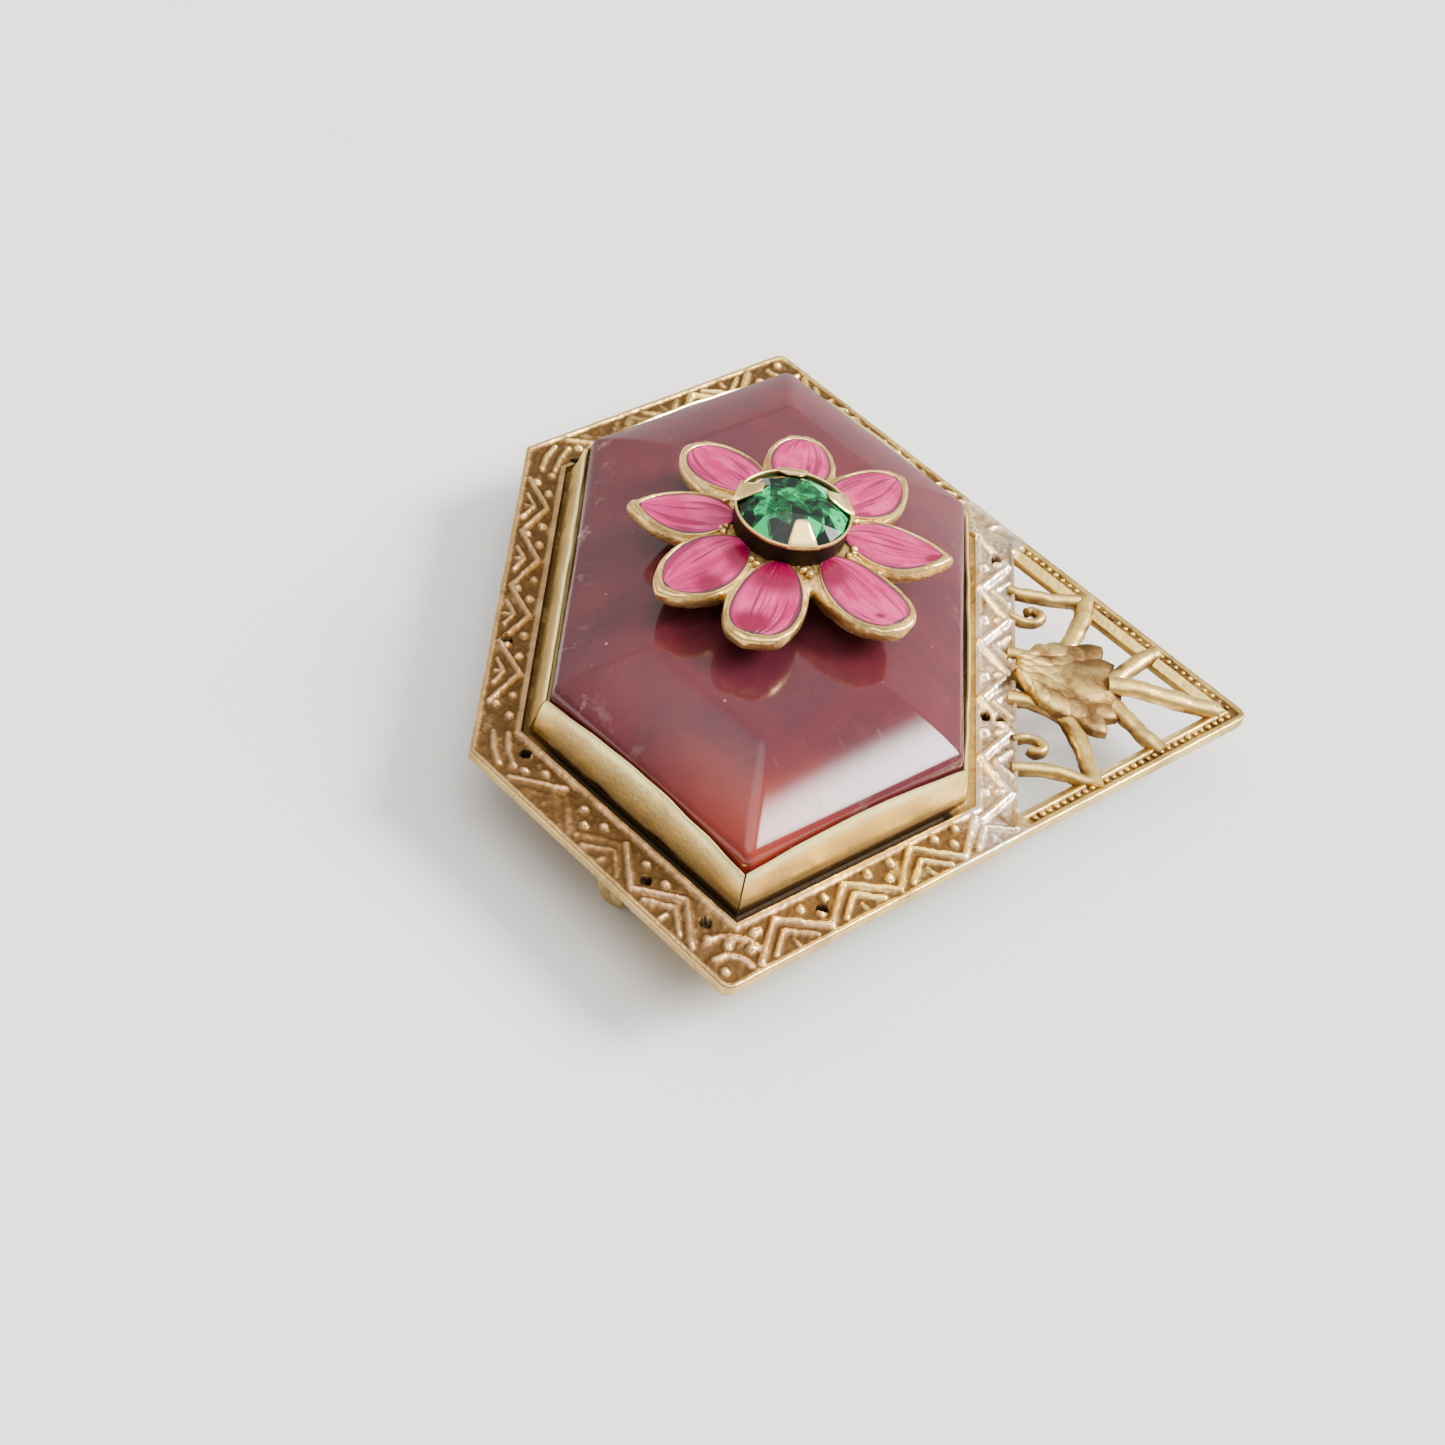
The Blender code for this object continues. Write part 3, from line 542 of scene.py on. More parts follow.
def band_strokes():
    """Zigzags with their nested chevrons, as (start, end, half width, rise), and the dots between them."""
    strokes, dots = [], []
    rng = np.random.default_rng(11)

    def put(start, along, u, v):
        jitter = rng.uniform(-0.06, 0.06, 2)
        inward = (-along[1], along[0])
        return (start[0] + along[0] * (u + jitter[0]) + inward[0] * (v + jitter[1]),
                start[1] + along[1] * (u + jitter[0]) + inward[1] * (v + jitter[1]))

    for name, start, along, first, outer, inner, count, wear in BANDS:
        turns = []
        for k in range(count):
            turns.append((first + PITCH * k, outer))
            if k < count - 1 or name == "near_right":
                turns.append((first + PITCH * (k + 0.5), inner))
        spots = [put(start, along, u, v) for u, v in turns]
        for i, (a, b) in enumerate(zip(spots, spots[1:])):
            middle = (turns[i][0] + turns[i + 1][0]) / 2
            strokes.append((a, b, RIDGE, RIDGE_RISE * unworn(wear, middle)))
        reach = inner - outer
        for u, v in turns:
            keep = unworn(wear, u)
            if v == inner:
                apex = v - 0.75
                arm = (apex - outer) * PITCH / 2 / reach
                peak = put(start, along, u, apex)
                for side in (-1, 1):
                    foot = put(start, along, u + side * arm, outer)
                    strokes.append((peak, foot, RIDGE * 0.8, RIDGE_RISE * 0.8 * keep))
                tick = put(start, along, u, outer + 0.35)
                base = put(start, along, u, outer - 0.05)
                strokes.append((base, tick, RIDGE * 0.7, RIDGE_RISE * 0.6 * keep))
            else:
                for du, dv in ((-0.7, inner - 0.12), (0.8, inner - 0.1), (0.08, inner - 0.85)):
                    dots.append(put(start, along, u + du, dv))
    far_strokes = [((ax, -ay), (bx, -by), half, rise) for (ax, ay), (bx, by), half, rise in strokes
                   if abs(ay) > FLAT_EDGE_HALF]
    far_dots = [(x, -y) for x, y in dots if abs(y) > FLAT_EDGE_HALF]
    return strokes + far_strokes, dots + far_dots


def strip_strokes():
    """The zigzag of the upright strip between the stone and the tail."""
    strokes, dots = [], []
    rng = np.random.default_rng(5)
    turns = []
    for k in range(11):
        y = -10.95 + PITCH / 2 * k
        turns.append((25.45 if k % 2 == 0 else 27.0, y))
    for (ax, ay), (bx, by) in zip(turns, turns[1:]):
        strokes.append(((ax, ay), (bx, by), RIDGE * 1.15, RIDGE_RISE * 1.15))
    for i, (x, y) in enumerate(turns[1:-1], 1):
        if i % 2:
            dots += [(25.7, y + rng.uniform(-0.3, 0.0)), (26.45, y + rng.uniform(-0.1, 0.1))]
        else:
            for side in (-1, 1):
                strokes.append(((x + 0.75, y), (27.05, y + side * 0.9), RIDGE * 0.75, RIDGE_RISE * 0.7))
    return strokes, dots


def corner_strokes():
    """Two arcs one inside the other in each side corner, and a bent double stroke beside the flat edge."""
    strokes = []
    for side in (-1, 1):
        for radius, middle in ((1.75, 22.85), (1.2, 23.5)):
            arc = [(CORNER_X + 0.15 + radius * sin(a), side * (middle - radius * cos(a)))
                   for a in [radians(-48 + 12 * i) for i in range(9)]]
            strokes += [(a, b, RIDGE * 0.9, RIDGE_RISE * 0.75) for a, b in zip(arc, arc[1:])]
        for shift in (0.0, 0.75):
            bend = [(1.0 + shift, side * 10.3), (1.15 + shift, side * 11.4), (1.5 + shift, side * 12.4)]
            strokes += [(a, b, RIDGE * 0.9, RIDGE_RISE * 0.8) for a, b in zip(bend, bend[1:])]
    return strokes


# Small punch marks in the bands, shallow pits painted near-black as the shade of holes
PIERCED = ((0.85, -3.7), (2.75, -11.5), (9.3, -18.5), (12.3, -20.5), (17.75, -18.5), (26.4, 9.2),
           (25.7, -3.4), (26.5, -3.5), (12.3, 20.5), (17.75, 18.5), (2.75, 11.5), (22.6, 14.1))
PIERCED_RADIUS = 0.27
DOT_RADIUS = 0.29
DOT_RISE = 0.24
# The tail border from its edge inwards: lip, groove for the beads, and inner strip
BORDER_RUN = (0.0, 0.33, 0.42, 0.74, 0.82, 0.92, BORDER)
BORDER_RISE = (0.0, 0.0, -0.17, -0.17, -0.04, -0.02, -0.32)


def distance_to(x, y, a, b):
    """Distance of points from the line between two places."""
    ax, ay = a
    dx = b[0] - ax
    dy = b[1] - ay
    t = np.clip(((x - ax) * dx + (y - ay) * dy) / max(dx * dx + dy * dy, 1e-12), 0.0, 1.0)
    return np.hypot(x - ax - dx * t, y - ay - dy * t)


def relief(x, y, strokes, dots):
    """Height of the plate's face and its marks: patina_and_shade, wear_and_highlight, copper_tint and silver.
    """
    edge = side_depths(KITE, x, y).min(0)
    beyond_tray = -side_depths(hexagon(), x, y).min(0)
    along = (x - CORNER_X) * 0.7330 + (HALF_WIDTH - np.abs(y)) * 0.6802
    tail = step(TAIL_START - 0.25, TAIL_START + 0.25, along) * (edge < BORDER + 0.01)
    lip = 1 - step(LIP, LIP + 0.14, edge)
    shelf = 1 - step(CHANNEL + 0.22, CHANNEL + 0.36, beyond_tray)
    sill = step(STRIP_X - 0.22, STRIP_X - 0.1, x) * (1 - step(11.0, 11.5, np.abs(y)))
    raised = np.clip(lip + shelf + sill, 0, 1)
    field = -FIELD_DEPTH * (1 - raised)
    ridge = np.zeros_like(x)
    for a, b, half, rise in strokes:
        near = distance_to(x, y, a, b)
        ridge = np.maximum(ridge, rise * np.clip(1 - (near / half) ** 2, 0, 1) ** 1.5)
    for dx, dy in dots:
        near = np.hypot(x - dx, y - dy)
        ridge = np.maximum(ridge, DOT_RISE * np.clip(1 - (near / DOT_RADIUS) ** 2, 0, 1) ** 0.8)
    lumps = 0.024 * ripple(x, y, 0.9, 3) + 0.016 * ripple(x, y, 0.42, 4)
    band = field + ridge + lumps * (1 - 0.6 * raised)
    pit = np.zeros_like(x)
    for px, py in PIERCED:
        near = np.hypot(x - px, y - py)
        pit = np.maximum(pit, 1 - step(PIERCED_RADIUS - 0.07, PIERCED_RADIUS + 0.04, near))
    band = band - pit * 0.5
    border = np.interp(edge, BORDER_RUN, BORDER_RISE)
    height = band * (1 - tail) + (border + lumps * 0.3) * tail
    height = height - 0.07 * np.clip(1 - edge / 0.12, 0, 1) ** 2
    groove = tail * step(0.33, 0.42, edge) * (1 - step(0.74, 0.84, edge))
    # patina with painted shade in the field's hollows and the tail's bead groove, and near-black painted
    # shade in the punched pits
    patina_and_shade = np.clip((FIELD_DEPTH * 0.75 - band - FIELD_DEPTH) / FIELD_DEPTH + 0.35, 0, 1)
    patina_and_shade = patina_and_shade * (1 - raised) * (1 - tail)
    patina_and_shade = patina_and_shade * (1 - 0.6 * step(*SILVERED, x))
    patina_and_shade = np.clip(patina_and_shade + groove * 0.7 + pit * 3.0, 0, 1.6)
    # lighter on ridge tops, the outer lip and the tail border's inner bevel: wear with painted highlight
    wear_and_highlight = np.clip((ridge - 0.09) / 0.09, 0, 1) * (1 - tail) * (1 - pit)
    wear_and_highlight = np.maximum(wear_and_highlight, (1 - step(0.0, 0.16, edge)) * 0.4)
    wear_and_highlight = np.maximum(wear_and_highlight, tail * step(0.86, 0.95, edge))
    wear_and_highlight = wear_and_highlight * np.clip(0.75 + 0.5 * ripple(x, y, 3.0, 9), 0.15, 1.0)
    from_flat_edge = x + 0.55 * y + 3.0 * ripple(x, y, 7.0, 8)
    copper_tint = np.clip(step(17.0, 2.0, from_flat_edge) * (1 - 0.3 * lip), 0, 1)
    silver = step(*SILVERED, x) * (1 - tail) * np.clip(0.75 + 0.3 * ripple(x, y, 2.5, 6), 0, 1)
    return height, {"patina_and_shade": patina_and_shade, "wear_and_highlight": wear_and_highlight, "copper_tint": copper_tint, "silver": silver}


def strip_grid(a, b, c, d, along, across):
    """Plan points between an outer side from a to b and an inner side from d to c."""
    s = np.linspace(0, 1, along + 1)[:, None, None]
    t = np.linspace(0, 1, across + 1)[None, :, None]
    a, b, c, d = (np.array(p) for p in (a, b, c, d))
    return (a * (1 - s) + b * s) * (1 - t) + (d * (1 - s) + c * s) * t


def grid_faces(grid, start):
    """Quads of a grid of points, facing up for a side that runs anticlockwise round the plate."""
    n, m = grid.shape[0] - 1, grid.shape[1] - 1
    index = start + np.arange((n + 1) * (m + 1)).reshape(n + 1, m + 1)
    quads = np.stack([index[:-1, :-1], index[1:, :-1], index[1:, 1:], index[:-1, 1:]], axis=-1)
    return quads.reshape(-1, 4)


def welded(points, faces, marks):
    """Joins points that share a place, and drops the sides of faces that shrink to nothing."""
    keys = np.round(points * 1e4).astype(np.int64)
    _, first, back = np.unique(keys, axis=0, return_index=True, return_inverse=True)
    back = back.ravel()
    joined = []
    for face in faces:
        loop = []
        for i in face:
            j = int(back[i])
            if not loop or loop[-1] != j:
                loop.append(j)
        if len(loop) > 1 and loop[0] == loop[-1]:
            loop.pop()
        if len(set(loop)) == len(loop) and len(loop) > 2:
            joined.append(tuple(loop))
    return points[first], joined, {key: values[first] for key, values in marks.items()}


# Sides of the tray's hexagon that the plate's strips lie along, and strips beside the tail's opening
TRAY_SIDE = {0: 5, 1: 0, 2: 1, 5: 3, 6: 4, 7: 2}
WINDOW_STRIPS = (3, 4, 7)
EDGE_STRIPS = 7
STRIP_BESIDE_TAIL = 7
# The channel round the tray as insets and heights, and how much painted shade it and its rim get along each
# side of the tray
TRENCH = ((0.04 - CHANNEL, -0.34), (0.14 - CHANNEL, -0.42), (-0.08, -0.42), (0.0, -0.3), (0.02, 0.0))
TRENCH_SHADE = (0.4, 1.3, 1.5, 1.5, 1.3, 0.8)
BACK_HOLLOW = 0.3
BACK_COPPER = 0.3
ACROSS = 30
FINE = 0.105


class Skin:
    """Grids of points gathered into one skin, with the marks of every point."""

    def __init__(self):
        self.points, self.faces, self.count = [], [], 0
        self.marks = {"patina_and_shade": [], "wear_and_highlight": [], "copper_tint": [], "silver": []}

    def lay(self, grid, values):
        self.points.append(grid.reshape(-1, 3))
        self.faces.extend(grid_faces(grid, self.count).tolist())
        for key, kept in self.marks.items():
            kept.append(np.broadcast_to(values.get(key, 0.0), grid.shape[:2]).ravel())
        self.count += grid.shape[0] * grid.shape[1]

    def close(self, loops, patina_and_shade):
        """Flat triangles inside a loop and round any loops within it, facing down if the loop is a back."""
        flat = np.concatenate(loops)
        triangles = np.array(tessellate_polygon([[Vector(p) for p in loop] for loop in loops]))
        a, b, c = (flat[triangles[:, k]][:, :2] for k in range(3))
        turn = (b[:, 0] - a[:, 0]) * (c[:, 1] - a[:, 1]) - (b[:, 1] - a[:, 1]) * (c[:, 0] - a[:, 0])
        triangles = triangles[np.abs(turn) > 1e-9]
        turn = turn[np.abs(turn) > 1e-9]
        wrong = (turn < 0) == (flat[0, 2] > -PLATE_THICK / 2)
        triangles[wrong] = triangles[wrong][:, ::-1]
        self.faces.extend((triangles + self.count).tolist())
        self.points.append(flat)
        for key, kept in self.marks.items():
            kept.append(np.full(len(flat), patina_and_shade if key == "patina_and_shade" else 0.0))
        self.count += len(flat)

    def welded(self):
        marks = {key: np.concatenate(kept) for key, kept in self.marks.items()}
        return welded(np.concatenate(self.points), self.faces, marks)


def plate_strips():
    """The plate's face as strips, each an outer side and the inner side that faces it."""
    trench = hexagon(-CHANNEL)
    near, point, far = window()
    start = lerp(KITE[1], KITE[2], TAIL_START / hypot(LENGTH - CORNER_X, HALF_WIDTH))
    end = (start[0], -start[1])
    return (
        (KITE[4], KITE[0], trench[0], trench[5]), (KITE[0], KITE[1], trench[1], trench[0]),
        (KITE[1], start, trench[2], trench[1]), (start, KITE[2], point, near), (KITE[2], end, far, point),
        (end, KITE[3], trench[4], trench[3]), (KITE[3], KITE[4], trench[5], trench[4]),
        (near, far, trench[3], trench[2]), (start, near, trench[2], trench[2]),
        (far, end, trench[3], trench[3]),
    )


def side_wall(edge):
    """The plate's edge from its back up to the face."""
    pull = np.array([FLOWER_X, 0.0]) - edge[:, :2]
    pull /= np.linalg.norm(pull, axis=1)[:, None]
    wall = []
    for shift, z in ((0.2, -PLATE_THICK), (0.07, -PLATE_THICK), (0.0, -0.58), (0.0, -0.2)):
        wall.append(np.column_stack([edge[:, :2] + pull * shift, np.full(len(edge), z)]))
    return np.stack([*wall, edge], axis=1)


def trench_rows(edge, side):
    """From the band's inner edge down into the channel and up to the tray's foot."""
    run = np.linspace(0, 1, len(edge))[:, None]
    rows = [edge]
    for inset, z in TRENCH:
        corners = hexagon(inset)
        line = np.array(corners[side]) * (1 - run) + np.array(corners[(side + 1) % 6]) * run
        rows.append(np.column_stack([line, z * (1 - 0.6 * step(23.6, 24.8, line[:, 0]))]))
    return np.stack(rows, axis=1)


def stamped_plate():
    """The plate with its stamped bands, channel and tail border as one closed skin."""
    strokes, dots = band_strokes()
    more_strokes, more_dots = strip_strokes()
    strokes = strokes + more_strokes + corner_strokes()
    dots = dots + more_dots + [(x, y * side) for x, y in ((13.4, 23.3), (14.8, 20.5)) for side in (-1, 1)]
    skin = Skin()
    rim, hole, tray = [], {}, {}
    for number, (a, b, c, d) in enumerate(plate_strips()):
        longest = max(hypot(b[0] - a[0], b[1] - a[1]), hypot(c[0] - d[0], c[1] - d[1]))
        plan = strip_grid(a, b, c, d, ACROSS if number > STRIP_BESIDE_TAIL else ceil(longest / FINE), ACROSS)
        height, values = relief(plan[..., 0], plan[..., 1], strokes, dots)
        x, y = ease_corners(plan[..., 0], plan[..., 1])
        grid = np.stack([x, y, height], axis=-1)
        skin.lay(grid, values)
        if number < EDGE_STRIPS:
            wall = side_wall(grid[:, 0])
            behind = np.array([[1.0, 1.0, 0.0, 0.0, 0.0]])
            # the edge wall slightly lighter as wear with painted highlight, its back with patina and painted
            # shade
            copper_tint = values["copper_tint"][:, :1] * 0.5 * (1 - behind) + BACK_COPPER * behind
            skin.lay(wall, {"patina_and_shade": BACK_HOLLOW * behind, "wear_and_highlight": 0.15 * (1 - behind), "copper_tint": copper_tint})
            rim.append(wall[:-1, 0])
        if number in WINDOW_STRIPS:
            upright = number == STRIP_BESIDE_TAIL
            edge = grid[:, 0] if upright else grid[:, -1]
            foot = np.column_stack([edge[:, :2], np.full(len(edge), -PLATE_THICK)])
            behind = np.array([[1.0, 0.0] if upright else [0.0, 1.0]])
            # the walls of the tail's opening painted darker and coppery as painted shade
            marks = {"patina_and_shade": 0.4 - (0.4 - BACK_HOLLOW) * behind,
                     "copper_tint": 0.7 - (0.7 - BACK_COPPER) * behind}
            skin.lay(np.stack([foot, edge] if upright else [edge, foot], axis=1), marks)
            hole[number] = foot
        if number in TRAY_SIDE:
            rows = trench_rows(grid[:, -1], TRAY_SIDE[number])
            # painted shade in the channel, lighter towards the flat edge and beside the strip
            kept = 1 - 0.45 * step(4.5, 2.6, rows[..., 0]) - 0.75 * step(23.6, 24.6, rows[..., 0])
            skin.lay(rows, {"patina_and_shade": np.array([TRENCH_SHADE]) * kept})
            tray[TRAY_SIDE[number]] = rows[:-1, -1]
    opening = np.concatenate([hole[3][:-1], hole[4][:-1], hole[7][:0:-1]])
    # the back gets patina and painted shade, and the floor under the tray a full share of painted shade
    skin.close([np.concatenate(rim), opening], BACK_HOLLOW)
    skin.close([np.concatenate([tray[side] for side in range(6)])], 1.0)
    points, faces, marks = skin.welded()
    return piece_from("stamped_plate", "frame_plate", "stamped_brass", (points, faces), 60.0, marks)


# ---------------------------------------------------------------- What follows a line or repeats

def new_tree(name, inputs):
    """An empty geometry tree with named inputs."""
    tree = bpy.data.node_groups.new(name, "GeometryNodeTree")
    tree.interface.new_socket("Geometry", in_out="INPUT", socket_type="NodeSocketGeometry")
    for label, kind in inputs:
        tree.interface.new_socket(label, in_out="INPUT", socket_type="NodeSocket" + kind)
    tree.interface.new_socket("Geometry", in_out="OUTPUT", socket_type="NodeSocketGeometry")
    given = tree.nodes.new("NodeGroupInput").outputs
    return tree, given, tree.nodes.new("NodeGroupOutput").inputs[0]


def finish_tree(tree, shape, finish, out):
    realized = add(tree, "GeometryNodeRealizeInstances", {"Geometry": shape}).outputs[0]
    smooth = add(tree, "GeometryNodeSetShadeSmooth", {"Geometry": realized}).outputs[0]
    coated = add(tree, "GeometryNodeSetMaterial", {"Geometry": smooth, "Material": finish}).outputs[0]
    tree.links.new(coated, out)


def beading_tree():
    """Small beads set at an even pitch along a line."""
    tree, given, out = new_tree("beading", [("Pitch", "Float"), ("Radius", "Float"), ("Seed", "Int"),
                                            ("Finish", "Material")])
    line = add(tree, "GeometryNodeMeshToCurve", {"Mesh": given["Geometry"]}).outputs[0]
    marks = add(tree, "GeometryNodeResampleCurve", {"Curve": line, "Length": given["Pitch"]}, mode="LENGTH")
    bead = add(tree, "GeometryNodeMeshIcoSphere", {"Radius": given["Radius"], "Subdivisions": 2}).outputs[0]
    size = add(tree, "FunctionNodeRandomValue", {2: 0.8, 3: 1.12, "Seed": given["Seed"]}).outputs[1]
    row_of_beads = {"Points": marks.outputs[0], "Instance": bead, "Scale": size}
    beads = add(tree, "GeometryNodeInstanceOnPoints", row_of_beads).outputs[0]
    finish_tree(tree, beads, given["Finish"], out)
    return tree


def granules_tree():
    """Flattened grains of uneven size at given places."""
    tree, given, out = new_tree("granules", [("Radius", "Float"), ("Flatness", "Float"), ("Seed", "Int"),
                                             ("Finish", "Material")])
    grain = add(tree, "GeometryNodeMeshIcoSphere", {"Radius": given["Radius"], "Subdivisions": 2}).outputs[0]
    squash = add(tree, "ShaderNodeCombineXYZ", {0: 1.0, 1: 1.0, 2: given["Flatness"]}).outputs[0]
    low = add(tree, "GeometryNodeTransform", {"Geometry": grain, "Scale": squash}).outputs[0]
    size = add(tree, "FunctionNodeRandomValue", {2: 0.7, 3: 1.2, "Seed": given["Seed"]}).outputs[1]
    scattered = {"Points": given["Geometry"], "Instance": low, "Scale": size}
    grains = add(tree, "GeometryNodeInstanceOnPoints", scattered).outputs[0]
    finish_tree(tree, grains, given["Finish"], out)
    return tree


def rib_tree():
    """A smooth bar with an oval section along a line, a little lumpy like sawn and filed metal."""
    tree, given, out = new_tree("rib", [("Width", "Float"), ("Depth", "Float"), ("Lumps", "Float"),
                                        ("Seed", "Int"), ("Finish", "Material")])
    line = add(tree, "GeometryNodeMeshToCurve", {"Mesh": given["Geometry"]}).outputs[0]
    line = add(tree, "GeometryNodeCurveSplineType", {"Curve": line}, spline_type="CATMULL_ROM").outputs[0]
    evenly = {"Curve": line, "Length": 0.12 * MM}
    line = add(tree, "GeometryNodeResampleCurve", evenly, mode="LENGTH").outputs[0]
    line = add(tree, "GeometryNodeSetCurveNormal", {"Curve": line}, mode="Z_UP").outputs[0]
    ring = add(tree, "GeometryNodeCurvePrimitiveCircle", {"Resolution": 14, "Radius": 0.5}).outputs[0]
    oval = add(tree, "ShaderNodeCombineXYZ", {0: given["Width"], 1: given["Depth"], 2: 1.0}).outputs[0]
    ring = add(tree, "GeometryNodeTransform", {"Geometry": ring, "Scale": oval}).outputs[0]
    drawn = {"Curve": line, "Profile Curve": ring, "Fill Caps": True}
    bar = add(tree, "GeometryNodeCurveToMesh", drawn).outputs[0]
    place = add(tree, "GeometryNodeInputPosition").outputs[0]
    lumpy = {"Vector": place, "W": given["Seed"], "Scale": 900.0, "Detail": 2.0}
    swell = add(tree, "ShaderNodeTexNoise", lumpy, noise_dimensions="4D").outputs[0]
    push = times(tree, minus(tree, swell, 0.5), given["Lumps"])
    normal = add(tree, "GeometryNodeInputNormal").outputs[0]
    offset = add(tree, "ShaderNodeVectorMath", {0: normal, "Scale": push}, operation="SCALE").outputs[0]
    bar = add(tree, "GeometryNodeSetPosition", {"Geometry": bar, "Offset": offset}).outputs[0]
    finish_tree(tree, bar, given["Finish"], out)
    return tree


def grown(name, tree, points, slot, in_line=True, **values):
    """Runs a geometry tree along a line or at loose places, and keeps the result as a plain mesh."""
    edges = [(i, i + 1) for i in range(len(points) - 1)] if in_line else []
    seedling = bpy.data.meshes.new(name + "_line")
    seedling.from_pydata(row(points).tolist(), edges, [])
    carrier = placed(name + "_line", seedling)
    growth = carrier.modifiers.new("growth", "NODES")
    growth.node_group = tree
    sockets = {s.name: s.identifier for s in tree.interface.items_tree if s.in_out == "INPUT"}
    values["Finish"] = FINISHES[slot]
    for key, value in values.items():
        growth[sockets[key]] = value
    ready = carrier.evaluated_get(bpy.context.evaluated_depsgraph_get())
    mesh = bpy.data.meshes.new_from_object(ready)
    mesh.name = name
    mesh.materials.clear()
    mesh.materials.append(FINISHES[slot])
    mesh.polygons.foreach_set("material_index", np.zeros(len(mesh.polygons), np.int32))
    carrier.modifiers.remove(growth)
    bpy.data.objects.remove(carrier)
    mesh.set_sharp_from_angle(angle=radians(50.0))
    return placed(name, mesh)


def joined(name, pieces):
    """Several mesh objects as one, in order."""
    whole = bmesh.new()
    for piece in pieces:
        whole.from_mesh(piece.data)
    mesh = bpy.data.meshes.new(name)
    whole.to_mesh(mesh)
    whole.free()
    mesh.materials.append(pieces[0].data.materials[0])
    for piece in pieces:
        bpy.data.objects.remove(piece)
    return placed(name, mesh)


BEADING = beading_tree()
GRANULES = granules_tree()
RIB = rib_tree()


# ---------------------------------------------------------------- pierced tail

# Each bar between the strip and the border: its line, width and depth
RIBS = (
    (((26.9, -1.7), (28.5, -1.75), (29.8, -2.4), (30.6, -3.9), (31.1, -5.6), (31.35, -7.3)), 1.0, 0.85),
    (((31.4, -0.5), (32.4, -0.75), (33.2, -1.7), (34.1, -2.8), (35.1, -3.75)), 1.0, 0.85),
    (((27.0, -6.85), (28.4, -6.65), (30.0, -6.75), (31.5, -7.1)), 0.8, 0.8),
    (((27.1, -4.75), (28.0, -4.45), (28.65, -4.7), (28.75, -5.2), (28.35, -5.5), (28.0, -5.3)), 0.56, 0.65),
)
KEEL = ((32.2, 0.0, 0.35), (33.4, 0.0, 0.42), (35.0, 0.0, 0.22), (36.6, 0.0, -0.02), (38.3, 0.0, -0.16))


def tail_ribs():
    """The curved bars sawn between the strip and the border, mirrored about the keel."""
    bars = []
    for number, (line, width, depth) in enumerate(RIBS):
        for side in (1, -1):
            points = [(x, y * side, -0.18) for x, y in line]
            bars.append(grown(f"rib_{number}", RIB, points, "stamped_brass", Width=width * MM,
                              Depth=depth * MM, Lumps=0.34 * MM, Seed=number * 2 + side))
    bars.append(grown("keel", RIB, KEEL, "stamped_brass", Width=1.15 * MM, Depth=0.9 * MM, Lumps=0.3 * MM,
                      Seed=20))
    ribs = joined("tail_ribs", bars)
    paint_depth(ribs, -0.45, 0.25)
    return fit(ribs, "frame_plate")


def paint_depth(piece, low, high):
    """Paints low places darker and coppery as patina and painted shade, and high ones lighter as wear and
    painted highlight.
    """
    places = np.array([v.co for v in piece.data.vertices])
    z = (places[:, 2] - FACE_Z) / MM
    rise = np.clip((z - low) / (high - low), 0, 1)
    swell = ripple(places[:, 0] / MM, places[:, 1] / MM, 1.4, 21)
    marks = {"patina_and_shade": np.clip(1.15 - rise * 1.08 + 0.26 * swell, 0, 1.2),
             "wear_and_highlight": np.clip(rise * 1.6 - 1.15 - 0.2 * swell, 0, 0.6),
             "copper_tint": np.clip(0.85 - rise * 0.95, 0, 1)}
    for key, values in marks.items():
        kept = piece.data.attributes.get(key) or piece.data.attributes.new(key, "FLOAT", "POINT")
        kept.data.foreach_set("value", values.astype(np.float32))


# Rows of the lotus: how far along, length, half width, rise, and the turns of its scales in degrees
SCALE_ROWS = (
    (29.6, 3.5, 0.80, 0.28, (-44, -26, -9, 9, 26, 44)),
    (29.0, 3.0, 0.78, 0.50, (-40, -20, 0, 20, 40)),
    (28.4, 2.6, 0.72, 0.70, (-44, -26, -9, 9, 26, 44)),
    (27.8, 2.2, 0.66, 0.86, (-40, -20, 0, 20, 40)),
    (27.2, 1.8, 0.60, 0.98, (-24, -8, 8, 24)),
)


def lotus_scale(x, y, turn, length, half, low, rise):
    """One domed, pointed scale that lies along a turned line."""
    turn = radians(turn)
    steps = 12
    rings = []
    for shrink, lift in ((1.0, -0.35), (1.0, 0.0), (0.88, 0.13), (0.6, 0.22), (0.2, 0.25)):
        ring = []
        for i in range(2 * steps):
            back_and_forth = abs(1 - i / steps)
            along = 1 - back_and_forth
            wide = half * sin(pi * along ** 1.35) ** 0.75 if 0 < along < 1 else 0.0
            side = -wide if i < steps else wide
            out = (along - 0.55) * shrink + 0.55
            u = out * length
            v = side * shrink
            ring.append((x + u * cos(turn) - v * sin(turn), y + u * sin(turn) + v * cos(turn),
                         low + rise * (1 - out) * 0.6 + rise * 0.4 + lift))
        rings.append(ring)
    return loft(rings)


